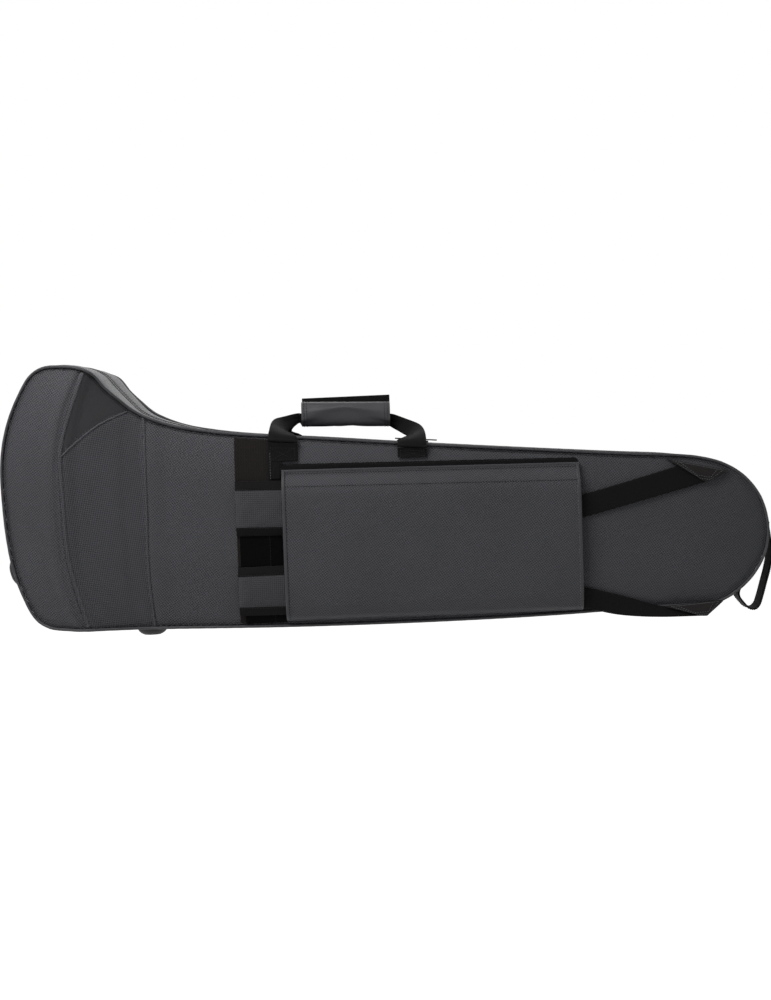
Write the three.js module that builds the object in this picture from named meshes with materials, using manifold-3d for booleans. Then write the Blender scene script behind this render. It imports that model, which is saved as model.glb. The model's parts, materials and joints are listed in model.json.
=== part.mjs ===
// Soft-sided trombone case, standing on its long lower edge.
// X runs from the bell end to the slide end, Y from the strap side to the lid side, and Z is up.
// Every size is in millimetres.
import * as THREE from 'three';
import { mergeVertices } from 'three/addons/utils/BufferGeometryUtils.js';
import Module from 'manifold-3d';

const { Vector3 } = THREE;
const wasm = await Module();
wasm.setup();

// Driving sizes of the two halves
const caseLength = 913;
const bellHeight = 320.5;
const undersideHeight = 5.5;
const bellEndDepth = 96;
const ridgeDepth = 110;
const neckDepth = 86;
const slideEndDepth = 64;
const bellCrown = 14;
const bodyCrown = 10;
const wallThickness = 14;
const faceThickness = 12;
const rimGap = 1.5;
const touchGap = 0.3;
const clothGap = 0.45;
const cutOverrun = 2;
const leftShift = 459.6;

// Trim along the edges
const pipingRadius = 2.5;
const tapeWidth = 16;
const tapeThickness = 0.8;
const coilWidth = 2;
const coilHeight = 1.6;
const hingeTapeThickness = 1.2;
const hingeStartShare = 0.13;
const hingeEndShare = 0.87;

// Feet
const footRadius = 18.5;
const footFlatRadius = 11;
const heelFootHeight = 9.5;
const footMargin = 4;

// Handle
const webWidth = 33;
const webThickness = 2;
const foldedWebWidth = 14;
const handleStandoff = 14;
const hemRadius = 2;
const cornerRise = 12.5;
const foldOffset = 8.5;
const gripMiddleRise = 35.5;
const gripSlopeShare = 0.0245;
const webBelowGrip = 6.5;
const gripLength = 106;
const gripHeight = 30;
const gripThickness = 26;
const gripFlapThickness = 2.4;
const tongueHeight = 30;
const tongueThickness = 1.5;
const tongueRise = 8;

// Strap side of the front face
const panelWidth = 54;
const panelThickness = 1.5;
const panelMargin = 3;
const padWidth = 65;
const padThickness = 8;
const padLength = 306;
const padNeckWidth = 30;
const padNeckLength = 34;
const strapWidth = 26;
const strapThickness = 1.5;
const adjusterLength = 24;
const adjusterWidth = 36;
const adjusterThickness = 3.5;
const adjusterBar = 4;
const adjusterRim = 3.5;
const flapWidth = 353;
const flapHeight = 180;
const flapFoot = 12;
const flapSideGap = 1.4;
const flapThickness = 2.5;
const flapStandoff = 12;
const hookStripHeight = 20;
const hookStripThickness = 1.5;
const loopStripHeight = 9.5;
const loopStripThickness = 1;
const loopStripMargin = 4;
const tabThickness = 2;
const tabTip = 5;

// Grab handle on the slide end
const endHandleY = -35;
const endHandleWidth = 34;
const endTopZ = 108;
const endLowZ = 42;
const endSlack = 18;
const endPatchLength = 20;
const endPatchThickness = 2;
const endWallGap = 0.9;

// Inside
const insertFit = 0.5;
const insertDrop = 12;
const bellWellRadius = 108;
const bellWellLength = 340;
const bellAxisHeight = 168;
const pocketLength = 470;
const pocketHeight = 145;
const pocketDepth = 33;
const pocketRadius = 22;
const pocketZ = 42;
const binLength = 170;
const binHeight = 50;
const binDepth = 40;
const binRadius = 8;
const binZ = 46;
const binCoverThickness = 4;
const binCoverLap = 2;
const mouthpieceRadius = 14;
const mouthpieceDepth = 36;
const mouthpieceTaperShare = 0.7;
const mouthpieceZ = 138;
const channelLength = 730;
const channelHeight = 108;
const channelDepth = 37;
const channelRadius = 18;
const channelZ = 40;
const retainerWidth = 25;
const retainerThickness = 2;
const retainerLap = 12;

// Zip sliders
const sliderLength = 15;
const sliderWidth = 11;
const sliderNose = 7;
const sliderThickness = 2.4;
const bridgeLength = 9.6;
const bridgeWidth = 1.6;
const bridgePost = 1.6;
const pullRod = 0.8;
const pullGap = 0.4;
const pullLength = 18;
const pullWidth = 7;
const pullThickness = 1.6;
const sliderGap = 0.8;
const sliderParkOffset = 1.5;

// Places along the case, as shares of its length from the bell end
const placeShares = {
  bellFoot: 0.183,
  slideFoot: 0.828,
  panel: 0.3018,
  bellLeg: 0.3663,
  slideLeg: 0.5385,
  bellWell: 0.049,
  pocket: 0.145,
  channel: 0.158,
  bin: 0.738,
  mouthpiece: 0.79,
  retainers: [0.36, 0.62],
  zipRun: [0.4, 0.7],
};
// Height of the heel foot, as a share of the bell end's height
const heelFootShare = 0.255;

// Colours and finishes
const finishes = {
  shell: { color: 0x46464b, roughness: 0.62 },
  trim: { color: 0x1b1b1c, roughness: 0.6 },
  webbing: { color: 0x1a1817, roughness: 0.85 },
  panel: { color: 0x2a2624, roughness: 0.9 },
  pad: { color: 0x4b4a4e, roughness: 0.8 },
  hook: { color: 0x0e0e0f, roughness: 1 },
  rubber: { color: 0x141414, roughness: 0.7 },
  plush: { color: 0x26262a, roughness: 1 },
  metal: { color: 0x3a3a3c, roughness: 0.35, metalness: 1 },
  plastic: { color: 0x161617, roughness: 0.45 },
};

// Outline of a half, [share of the length, share of the height], from the lower bell corner
// along the bottom, up the slide end, back along the top and down the bell end
const outlineShares = [
  [0.039, 0.067], [0.056, 0.034], [0.080, 0.020], [0.118, 0.016],
  [0.222, 0.011], [0.387, 0.003], [0.562, 0.000], [0.715, 0.009],
  [0.825, 0.020], [0.904, 0.027], [0.934, 0.037], [0.958, 0.076],
  [0.979, 0.133], [0.994, 0.207], [1.000, 0.289], [0.997, 0.370],
  [0.988, 0.438], [0.968, 0.504], [0.942, 0.548], [0.912, 0.574],
  [0.874, 0.591], [0.819, 0.602], [0.562, 0.658], [0.430, 0.687],
  [0.301, 0.716], [0.257, 0.738], [0.222, 0.763], [0.194, 0.788],
  [0.172, 0.819], [0.156, 0.863], [0.140, 0.913], [0.125, 0.963],
  [0.108, 0.989], [0.080, 1.000], [0.060, 0.991], [0.044, 0.959],
  [0.030, 0.894], [0.014, 0.807], [0.004, 0.716], [0.000, 0.622],
  [0.001, 0.498], [0.004, 0.373], [0.011, 0.257], [0.021, 0.164],
];
const cornerIndices = { bottomStart: 0, slideStart: 11, topStart: 17, bellStart: 35 };

// Columns across the face: place along the bottom and the top as shares of the length, how much
// of the bell end's and slide end's bow each one takes, how its depth mixes the named depths as
// [bell end, ridge, neck, slide end], and how its crown mixes the crowns of [bell end, body]
const columnShares = [
  { bottom: 0.039, top: 0.044, bell: 1.00, slide: 0, mix: [1, 0, 0, 0], crown: [0, 0] },
  { bottom: 0.052, top: 0.054, bell: 0.98, slide: 0, mix: [0.8, 0.2, 0, 0], crown: [0.35, 0] },
  { bottom: 0.067, top: 0.070, bell: 0.95, slide: 0, mix: [0.55, 0.45, 0, 0], crown: [0.7, 0] },
  { bottom: 0.084, top: 0.090, bell: 0.90, slide: 0, mix: [0.25, 0.75, 0, 0], crown: [0.9, 0] },
  { bottom: 0.103, top: 0.113, bell: 0.82, slide: 0, mix: [0, 1, 0, 0], crown: [1, 0] },
  { bottom: 0.124, top: 0.128, bell: 0.60, slide: 0, mix: [0, 0.74, 0.26, 0], crown: [0.95, 0] },
  { bottom: 0.146, top: 0.146, bell: 0.36, slide: 0, mix: [0, 0.44, 0.56, 0], crown: [0.88, 0] },
  { bottom: 0.167, top: 0.164, bell: 0.18, slide: 0, mix: [0, 0.17, 0.83, 0], crown: [0.8, 0] },
  { bottom: 0.188, top: 0.181, bell: 0.08, slide: 0, mix: [0, 0, 1, 0], crown: [0, 1] },
  { bottom: 0.222, top: 0.215, bell: 0.03, slide: 0, mix: [0, 0, 0.92, 0.08], crown: [0, 1] },
  { bottom: 0.260, top: 0.257, bell: 0, slide: 0, mix: [0, 0, 0.86, 0.14], crown: [0, 1] },
  { bottom: 0.301, top: 0.301, bell: 0, slide: 0, mix: [0, 0, 0.80, 0.20], crown: [0, 1] },
  { bottom: 0.365, top: 0.365, bell: 0, slide: 0, mix: [0, 0, 0.71, 0.29], crown: [0, 1] },
  { bottom: 0.430, top: 0.430, bell: 0, slide: 0, mix: [0, 0, 0.62, 0.38], crown: [0, 1] },
  { bottom: 0.500, top: 0.500, bell: 0, slide: 0, mix: [0, 0, 0.52, 0.48], crown: [0, 1] },
  { bottom: 0.570, top: 0.570, bell: 0, slide: 0, mix: [0, 0, 0.42, 0.58], crown: [0, 1] },
  { bottom: 0.640, top: 0.640, bell: 0, slide: 0, mix: [0, 0, 0.32, 0.68], crown: [0, 1] },
  { bottom: 0.700, top: 0.700, bell: 0, slide: 0, mix: [0, 0, 0.24, 0.76], crown: [0, 1] },
  { bottom: 0.755, top: 0.755, bell: 0, slide: 0, mix: [0, 0, 0.17, 0.83], crown: [0, 1] },
  { bottom: 0.808, top: 0.810, bell: 0, slide: 0, mix: [0, 0, 0.10, 0.90], crown: [0, 0.97] },
  { bottom: 0.850, top: 0.853, bell: 0, slide: 0.06, mix: [0, 0, 0.05, 0.95], crown: [0, 0.92] },
  { bottom: 0.885, top: 0.890, bell: 0, slide: 0.22, mix: [0, 0, 0.02, 0.98], crown: [0, 0.83] },
  { bottom: 0.915, top: 0.920, bell: 0, slide: 0.48, mix: [0, 0, 0, 1], crown: [0, 0.64] },
  { bottom: 0.940, top: 0.946, bell: 0, slide: 0.78, mix: [0, 0, 0, 1], crown: [0, 0.33] },
  { bottom: 0.958, top: 0.968, bell: 0, slide: 1.00, mix: [0, 0, 0, 1], crown: [0, 0] },
];
const rowShares = [0, 0.04, 0.12, 0.24, 0.38, 0.5, 0.62, 0.76, 0.88, 0.96, 1];
const crownPower = 3;

// Solid helpers

// Collects triangles and turns them into one closed geometry that faces out
class Skin {
  constructor() {
    this.corners = [];
  }

  tri(a, b, c) {
    this.corners.push(a, b, c);
  }

  quad(a, b, c, d) {
    this.tri(a, b, c);
    this.tri(a, c, d);
  }

  // Strip of faces between two loops of equally many points
  band(first, second, closed = true) {
    const count = closed ? first.length : first.length - 1;
    for (let i = 0; i < count; i += 1) {
      const next = (i + 1) % first.length;
      this.quad(first[next], first[i], second[i], second[next]);
    }
  }

  grid(points, reversed = false) {
    for (let i = 0; i < points.length - 1; i += 1) {
      for (let j = 0; j < points[0].length - 1; j += 1) {
        const cell = [points[i][j], points[i + 1][j], points[i + 1][j + 1], points[i][j + 1]];
        if (reversed) cell.reverse();
        this.quad(...cell);
      }
    }
  }

  geometry() {
    let volume = 0;
    for (let i = 0; i < this.corners.length; i += 3) {
      const [a, b, c] = this.corners.slice(i, i + 3);
      volume += a.dot(new Vector3().crossVectors(b, c));
    }
    const values = [];
    for (let i = 0; i < this.corners.length; i += 3) {
      const corner = this.corners.slice(i, i + 3);
      if (volume < 0) corner.reverse();
      corner.forEach((point) => values.push(point.x, point.y, point.z));
    }
    const geometry = new THREE.BufferGeometry();
    geometry.setAttribute('position', new THREE.Float32BufferAttribute(values, 3));
    return mergeVertices(geometry);
  }
}

// The boundary of a grid of points, once round
function gridEdge(points) {
  const last = points.length - 1;
  const top = points[0].length - 1;
  const loop = [];
  for (let i = 0; i < last; i += 1) loop.push(points[i][0]);
  for (let j = 0; j < top; j += 1) loop.push(points[last][j]);
  for (let i = last; i > 0; i -= 1) loop.push(points[i][top]);
  for (let j = top; j > 0; j -= 1) loop.push(points[0][j]);
  return loop;
}

// Closed solid between two grids, with any loops of points in between
function gridSolid(outer, inner, loops = []) {
  const skin = new Skin();
  skin.grid(outer);
  const rings = [gridEdge(outer), ...loops, gridEdge(inner)];
  for (let i = 0; i < rings.length - 1; i += 1) skin.band(rings[i], rings[i + 1]);
  skin.grid(inner, true);
  return skin.geometry();
}

// Closed solid through a row of like sections, either a ring or an open run with its ends capped
function sectionSolid(sections, ring, capShape) {
  const skin = new Skin();
  const count = ring ? sections.length : sections.length - 1;
  for (let i = 0; i < count; i += 1) skin.band(sections[i], sections[(i + 1) % sections.length]);
  if (!ring) {
    const faces = THREE.ShapeUtils.triangulateShape(capShape, []);
    const first = sections[0];
    const last = sections[sections.length - 1];
    const area = THREE.ShapeUtils.area(capShape);
    faces.forEach(([a, b, c]) => {
      const turn = area > 0 ? [a, b, c] : [a, c, b];
      skin.tri(first[turn[0]], first[turn[1]], first[turn[2]]);
      skin.tri(last[turn[0]], last[turn[2]], last[turn[1]]);
    });
  }
  return skin.geometry();
}

function toSolid(geometry) {
  const plain = geometry.clone();
  plain.deleteAttribute('normal');
  plain.deleteAttribute('uv');
  const merged = mergeVertices(plain);
  return new wasm.Manifold(new wasm.Mesh({
    numProp: 3,
    vertProperties: new Float32Array(merged.attributes.position.array),
    triVerts: new Uint32Array(merged.index.array),
  }));
}

function toGeometry(solid) {
  const mesh = solid.getMesh();
  const geometry = new THREE.BufferGeometry();
  geometry.setAttribute('position', new THREE.Float32BufferAttribute(mesh.vertProperties, 3));
  geometry.setIndex(new THREE.Uint32BufferAttribute(mesh.triVerts, 1));
  return geometry;
}

function cut(base, cutters) {
  let solid = toSolid(base);
  cutters.forEach((cutter) => {
    solid = solid.subtract(toSolid(cutter));
  });
  return toGeometry(solid);
}

function join(bodies) {
  let solid = toSolid(bodies[0]);
  bodies.slice(1).forEach((body) => {
    solid = solid.add(toSolid(body));
  });
  return toGeometry(solid);
}

// Box given by its low and high corners
function boxBetween(low, high) {
  const size = high.clone().sub(low);
  const box = new THREE.BoxGeometry(size.x, size.y, size.z);
  const middle = low.clone().lerp(high, 1 / 2);
  return box.translate(middle.x, middle.y, middle.z);
}

// Box with its upright corners rounded, its round faces along Y
function roundedBlock(low, high, radius) {
  const shape = new THREE.Shape();
  shape.moveTo(low.x + radius, low.z);
  shape.lineTo(high.x - radius, low.z);
  shape.absarc(high.x - radius, low.z + radius, radius, -Math.PI / 2, 0);
  shape.lineTo(high.x, high.z - radius);
  shape.absarc(high.x - radius, high.z - radius, radius, 0, Math.PI / 2);
  shape.lineTo(low.x + radius, high.z);
  shape.absarc(low.x + radius, high.z - radius, radius, Math.PI / 2, Math.PI);
  shape.lineTo(low.x, low.z + radius);
  shape.absarc(low.x + radius, low.z + radius, radius, Math.PI, Math.PI * 3 / 2);
  const depth = high.y - low.y;
  const block = new THREE.ExtrudeGeometry(shape, { depth, bevelEnabled: false, curveSegments: 4 });
  return block.rotateX(Math.PI / 2).translate(0, high.y, 0);
}

// The outline and what follows it

const outlinePoints = outlineShares.map(([along, up]) => new Vector3(
  along * caseLength - leftShift,
  0,
  undersideHeight + up * bellHeight,
));
const outline = new THREE.CatmullRomCurve3(outlinePoints, true, 'centripetal');
const outlineCount = outlinePoints.length;

// Point where the outline passes a value of x or z on one of its four stretches
function outlineAt(startIndex, endIndex, key, value) {
  let low = startIndex / outlineCount;
  let high = endIndex / outlineCount;
  const rising = outlinePoints[endIndex % outlineCount][key] > outlinePoints[startIndex][key];
  for (let step = 0; step < 40; step += 1) {
    const middle = (low + high) / 2;
    const before = outline.getPoint(middle)[key] < value;
    if (before === rising) low = middle;
    else high = middle;
  }
  return outline.getPoint((low + high) / 2);
}

const { bottomStart, slideStart, topStart, bellStart } = cornerIndices;
const bottomAt = (x) => outlineAt(bottomStart, slideStart, 'x', x);
const topAt = (x) => outlineAt(topStart, bellStart, 'x', x);
const slideEndAt = (z) => outlineAt(slideStart, topStart, 'z', z);
const bellEndAt = (z) => outlineAt(bellStart, outlineCount, 'z', z);
const shareX = (share) => share * caseLength - leftShift;
const shareZ = (share) => undersideHeight + share * bellHeight;

const lastColumn = columnShares.length - 1;
const lastRow = rowShares.length - 1;
const namedDepths = [bellEndDepth, ridgeDepth, neckDepth, slideEndDepth];
const namedCrowns = [bellCrown, bodyCrown];

const blendOf = (shares, sizes) => shares.reduce((sum, share, k) => sum + share * sizes[k], 0);
const columnDepth = (column) => blendOf(column.mix, namedDepths);
const columnCrown = (column) => blendOf(column.crown, namedCrowns);

// Place on the outline for every grid point on the edge of the face
function edgePoint(i, j) {
  if (i === 0) return mixEnds(outlinePoints[bottomStart], outlinePoints[bellStart], bellEndAt, j);
  if (i === lastColumn) return mixEnds(outlinePoints[slideStart], outlinePoints[topStart], slideEndAt, j);
  if (j === 0) return bottomAt(shareX(columnShares[i].bottom));
  return topAt(shareX(columnShares[i].top));
}

function mixEnds(low, high, at, j) {
  if (j === 0) return low.clone();
  if (j === lastRow) return high.clone();
  return at(low.z + (high.z - low.z) * rowShares[j]);
}

// The edge of the face as one loop, with the half depth at each point
const edgeLoop = [];
for (let i = 0; i < lastColumn; i += 1) edgeLoop.push([i, 0]);
for (let j = 0; j < lastRow; j += 1) edgeLoop.push([lastColumn, j]);
for (let i = lastColumn; i > 0; i -= 1) edgeLoop.push([i, lastRow]);
for (let j = lastRow; j > 0; j -= 1) edgeLoop.push([0, j]);
const loopPoints = edgeLoop.map(([i, j]) => edgePoint(i, j));
const loopDepths = edgeLoop.map(([i]) => columnDepth(columnShares[i]));
const loopNormals = loopPoints.map((point, k) => {
  const before = loopPoints[(k + loopPoints.length - 1) % loopPoints.length];
  const after = loopPoints[(k + 1) % loopPoints.length];
  const along = after.clone().sub(point).normalize().add(point.clone().sub(before).normalize());
  return new Vector3(along.z, 0, -along.x).normalize();
});

function loopPoint(k, outward) {
  return loopPoints[k].clone().addScaledVector(loopNormals[k], outward);
}

function loopIndex(i, j) {
  return edgeLoop.findIndex(([a, b]) => a === i && b === j);
}

function pillow(share) {
  return 1 - Math.abs(2 * share - 1) ** crownPower;
}

// Grid of face points, moved in from the outline by inset and back from the face by sink.
// side is -1 for the strap half and +1 for the lid half.
function faceGrid(side, inset, sink) {
  const edge = (i, j) => loopPoint(loopIndex(i, j), -inset);
  const bow = (i, j) => {
    const chord = edge(i, 0).lerp(edge(i, lastRow), rowShares[j]);
    return edge(i, j).sub(chord);
  };
  return columnShares.map((column, i) => rowShares.map((share, j) => {
    const onEdge = i === 0 || j === 0 || i === lastColumn || j === lastRow;
    let point;
    if (onEdge) {
      point = edge(i, j);
    } else {
      point = edge(i, 0).lerp(edge(i, lastRow), share);
      point.addScaledVector(bow(0, j), column.bell);
      point.addScaledVector(bow(lastColumn, j), column.slide);
    }
    point.y = side * (columnDepth(column) + columnCrown(column) * pillow(share) - sink);
    return point;
  }));
}

function loopAtDepth(side, inset, depth) {
  return loopPoints.map((unused, k) => {
    const point = loopPoint(k, -inset);
    point.y = side * depth;
    return point;
  });
}

// Depth of the front face below a point, read from its own facets
const tinyShare = 1e-9;
const frontFace = faceGrid(-1, 0, 0);

function cellDepth(a, b, c, x, z) {
  const span = (b.x - a.x) * (c.z - a.z) - (c.x - a.x) * (b.z - a.z);
  const u = ((x - a.x) * (c.z - a.z) - (c.x - a.x) * (z - a.z)) / span;
  const v = ((b.x - a.x) * (z - a.z) - (x - a.x) * (b.z - a.z)) / span;
  if (u < -tinyShare || v < -tinyShare || u + v > 1 + tinyShare) return null;
  return -(a.y + u * (b.y - a.y) + v * (c.y - a.y));
}

function faceDepth(x, z) {
  for (let i = 0; i < lastColumn; i += 1) {
    for (let j = 0; j < lastRow; j += 1) {
      const [a, b] = [frontFace[i][j], frontFace[i + 1][j]];
      const [c, d] = [frontFace[i + 1][j + 1], frontFace[i][j + 1]];
      const depth = cellDepth(a, b, c, x, z) ?? cellDepth(a, c, d, x, z);
      if (depth !== null) return depth;
    }
  }
  return edgeDepth(x);
}

// Half depth of the case at the bottom edge
function edgeDepth(x) {
  for (let i = 0; i < lastColumn; i += 1) {
    const [a, b] = [frontFace[i][0], frontFace[i + 1][0]];
    if (x <= b.x) return -a.y + (a.y - b.y) * Math.max(0, (x - a.x) / (b.x - a.x));
  }
  return slideEndDepth;
}

// Plate laid over the front face: place(u, v) gives [x, z, inner offset, outer offset]
function facePlate(place, across, up) {
  const rows = (key) => Array.from({ length: across + 1 }, (unused, i) => Array.from(
    { length: up + 1 },
    (also, j) => {
      const spot = place(i / across, j / up);
      const depth = spot.depth ?? faceDepth(spot.x, spot.z);
      return new Vector3(spot.x, -(depth + spot[key]), spot.z);
    },
  ));
  return gridSolid(rows('outer'), rows('inner'));
}

// Band with a flat section: each station has a centre, half its width as a vector, and the band's
// thickness is laid square to both its run and its width
function ribbon(stations, thickness) {
  const sections = stations.map((station, i) => {
    const before = stations[Math.max(i - 1, 0)].centre;
    const after = stations[Math.min(i + 1, stations.length - 1)].centre;
    const run = after.clone().sub(before).normalize();
    const off = new Vector3().crossVectors(run, station.half).setLength(thickness / 2);
    const { centre, half } = station;
    return [
      centre.clone().add(half).add(off),
      centre.clone().add(half).sub(off),
      centre.clone().sub(half).sub(off),
      centre.clone().sub(half).add(off),
    ];
  });
  const square = [[1, 1], [1, -1], [-1, -1], [-1, 1]].map(([a, b]) => new THREE.Vector2(a, b));
  return sectionSolid(sections, false, square);
}

const station = (x, y, z, hx, hy, hz) => ({
  centre: new Vector3(x, y, z),
  half: new Vector3(hx, hy, hz),
});

// The finished group

const trombone_case = new THREE.Group();
const shift = new THREE.Group();
trombone_case.add(shift);

function piece(name, geometry, finish) {
  const material = new THREE.MeshStandardMaterial({ ...finishes[finish], flatShading: true });
  const mesh = new THREE.Mesh(geometry, material);
  mesh.name = name;
  shift.add(mesh);
  return mesh;
}

// Halves: hollow trays with foam walls, open at the middle plane
function shell(side) {
  return gridSolid(
    faceGrid(side, 0, 0),
    faceGrid(side, wallThickness, faceThickness),
    [loopAtDepth(side, 0, rimGap), loopAtDepth(side, wallThickness, rimGap)],
  );
}

function piping(side) {
  const sides = 6;
  const reach = (pipingRadius + touchGap) * Math.SQRT1_2;
  const sections = loopPoints.map((unused, k) => {
    const centre = loopPoint(k, reach);
    centre.y = side * (loopDepths[k] + reach);
    return Array.from({ length: sides }, (also, s) => {
      const angle = (s + 1 / 2) * 2 * Math.PI / sides;
      const point = centre.clone().addScaledVector(loopNormals[k], pipingRadius * Math.cos(angle));
      point.y += pipingRadius * Math.sin(angle);
      return point;
    });
  });
  return sectionSolid(sections, true);
}

// Stretch of the loop whose bottom lies between the two ends of the hinge, or the rest of it
function loopStretch(hinge) {
  const onHinge = loopPoints.map((point, k) => {
    const [i, j] = edgeLoop[k];
    const share = columnShares[i].bottom;
    return j === 0 && share > hingeStartShare && share < hingeEndShare;
  });
  const wanted = onHinge.map((value) => value === hinge);
  const count = wanted.length;
  const start = wanted.findIndex((value, k) => value && !wanted[(k + count - 1) % count]);
  const stretch = [];
  for (let step = 0; wanted[(start + step) % count] && step < count; step += 1) {
    stretch.push((start + step) % count);
  }
  return stretch;
}

// Tape along the rim: a section of [distance from the middle plane, height off the wall]
function rimTape(side, section, hinge) {
  const shape = section.map(([across, up]) => new THREE.Vector2(across, up));
  const sections = loopStretch(hinge).map((k) => section.map(([across, up]) => {
    const point = loopPoint(k, up);
    point.y = side * across;
    return point;
  }));
  return sectionSolid(sections, false, shape);
}

const pipingReach = 2 * pipingRadius + touchGap;
const zipTop = touchGap + tapeThickness;
const coilTop = touchGap + coilHeight;
const zipSection = [
  [tapeWidth, touchGap], [tapeWidth, zipTop], [touchGap + coilWidth, zipTop],
  [touchGap + coilWidth, coilTop], [touchGap, coilTop], [touchGap, touchGap],
];
const hingeTop = touchGap + hingeTapeThickness;
const hingeSection = [
  [tapeWidth, touchGap], [tapeWidth, hingeTop], [touchGap, hingeTop], [touchGap, touchGap],
];

// Rubber foot on the underside: a low dome whose upper face follows the wall above it
const footProfileShares = [[0, 0], [1, 0], [1, 0.08], [0.86, 0.45], [0.62, 0.86]];
const footSides = 20;

function footGeometry(height) {
  const profile = footProfileShares.map(([r, h]) => new THREE.Vector2(r * footRadius, h * height));
  profile.push(new THREE.Vector2(footFlatRadius, height), new THREE.Vector2(0, height));
  return new THREE.LatheGeometry(profile, footSides);
}

function bottomFoot(x, y) {
  const height = bottomAt(x).z - touchGap;
  const foot = footGeometry(height).rotateX(-Math.PI / 2).translate(x, y, height);
  const place = foot.attributes.position;
  for (let k = 0; k < place.count; k += 1) {
    const rise = place.getZ(k) / height;
    const wall = bottomAt(place.getX(k)).z - touchGap;
    place.setZ(k, place.getZ(k) + (wall - height) * (rise > 1 / 2 ? rise : 0));
  }
  return foot;
}

function heelFoot(z, y) {
  const wall = bellEndAt(z);
  const above = bellEndAt(z + footRadius / 2);
  const below = bellEndAt(z - footRadius / 2);
  const lean = Math.atan2(below.x - above.x, above.z - below.z);
  const foot = footGeometry(heelFootHeight).rotateZ(Math.PI / 2).rotateY(-lean);
  const out = new Vector3(-Math.cos(lean), 0, -Math.sin(lean));
  wall.addScaledVector(out, touchGap);
  return foot.translate(wall.x, y, wall.z);
}

for (const [side, half] of [[-1, 'base'], [1, 'lid']]) {
  piece(`${half}_shell`, shell(side), 'shell');
  piece(`${half}_piping`, piping(side), 'trim');
  piece(`${half}_zip_tape`, rimTape(side, zipSection, false), 'trim');
  piece(`${half}_hinge_tape`, rimTape(side, hingeSection, true), 'webbing');
  for (const end of ['bell', 'slide']) {
    const x = shareX(placeShares[`${end}Foot`]);
    const y = side * (edgeDepth(x) - footRadius - footMargin);
    piece(`${half}_foot_${end}`, bottomFoot(x, y), 'rubber');
  }
  const heelY = side * (bellEndDepth - footRadius - 2 * footMargin);
  piece(`${half}_foot_heel`, heelFoot(bellHeight * heelFootShare, heelY), 'rubber');
}

// Strap side: anchor panel, padded straps, webbing, cover flap

const panelX = shareX(placeShares.panel);
const flapX = panelX + panelWidth + flapSideGap;
const padInner = 2 * clothGap + panelThickness;

// Webbing panel that the padded straps are sewn to, from the lower to the upper edge of the face
function strapPanel() {
  return facePlate((u, v) => {
    const x = panelX + u * panelWidth;
    const low = bottomAt(x).z + panelMargin;
    const high = topAt(x).z - panelMargin;
    return { x, z: low + (high - low) * v, inner: clothGap, outer: clothGap + panelThickness };
  }, 3, 16);
}

// Middle line of each padded strap, [share of its length, share of the flap's height]
const upperPadShares = [[0, 0.758], [0.35, 0.75], [0.7, 0.667], [1, 0.578]];
const lowerPadShares = [[0, 0.228], [0.35, 0.228], [0.75, 0.228], [1, 0.194]];
// What is left of the pad's thickness along its sides, and of its crown at its two ends
const padSideShare = 0.35;
const padEndShare = 0.4;
const padCrownPower = 4;

function padCentre(shares, u) {
  const k = Math.max(1, shares.findIndex(([at]) => at >= u));
  const [[from, low], [to, high]] = [shares[k - 1], shares[k]];
  const t = (u - from) / (to - from);
  return flapFoot + flapHeight * (low + (high - low) * t * t * (3 - 2 * t));
}

// Padded shoulder strap: crowned across, sewn flat at its left end and narrowed at its right
function shoulderPad(shares) {
  return facePlate((u, v) => {
    const taper = Math.min(1, (1 - u) * padLength / padNeckLength);
    const width = padNeckWidth + (padWidth - padNeckWidth) * Math.sin(taper * Math.PI / 2);
    const across = v - 1 / 2;
    const end = u === 0 || u === 1 ? padEndShare : 1;
    const crown = (1 - Math.abs(2 * across) ** padCrownPower) * end;
    return {
      x: panelX + u * padLength,
      z: padCentre(shares, u) + across * width,
      inner: padInner,
      outer: padInner + padThickness * (padSideShare + (1 - padSideShare) * crown),
    };
  }, 18, 8);
}

// Ladder lock between a pad and its webbing: a frame with two slots and a bar between them
function adjuster(x, z) {
  const outer = -faceDepth(x, z) - padInner - adjusterThickness;
  const halfLength = adjusterLength / 2;
  const slotHalf = adjusterWidth / 2 - adjusterRim;
  const frame = boxBetween(
    new Vector3(x - halfLength, outer, z - adjusterWidth / 2),
    new Vector3(x + halfLength, outer + adjusterThickness, z + adjusterWidth / 2),
  );
  const slots = [-1, 1].map((end) => {
    const near = x + end * adjusterBar / 2;
    const far = x + end * (halfLength - adjusterRim);
    return boxBetween(
      new Vector3(Math.min(near, far), outer - cutOverrun, z - slotHalf),
      new Vector3(Math.max(near, far), outer + adjusterThickness + cutOverrun, z + slotHalf),
    );
  });
  return cut(frame, slots);
}

const adjusterX = panelX + padLength + touchGap + adjusterLength / 2;
const strapStartX = adjusterX + adjusterLength / 2 + touchGap;

// Webbing in front of the face, laid over the piping where it reaches the lower edge. Each place
// gives its upper and its lower edge as [x, z], and how far the lower edge leans out.
function frontStrap(places) {
  return ribbon(places.map(({ upper, lower, lean }) => {
    const high = new Vector3(upper[0], -strapLift(...upper), upper[1]);
    const low = new Vector3(lower[0], -strapLift(...lower) - lean, lower[1]);
    return { centre: high.clone().lerp(low, 1 / 2), half: high.clone().sub(low).divideScalar(2) };
  }), strapThickness);
}

// Depth of the webbing's middle: on the face, or on the piping near the lower edge
function strapLift(x, z) {
  const edge = bottomAt(x).z;
  const face = faceDepth(x, Math.max(z, edge + pipingRadius)) + padInner + strapThickness;
  const overEdge = edgeDepth(x) + pipingReach + strapThickness;
  return z < edge + strapWidth ? Math.max(face, overEdge) : face;
}

const mixPlaces = (from, to, share) => from.map((value, k) => value + (to[k] - value) * share);
const placeAt = ([along, up]) => [shareX(along), shareZ(up)];

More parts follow.
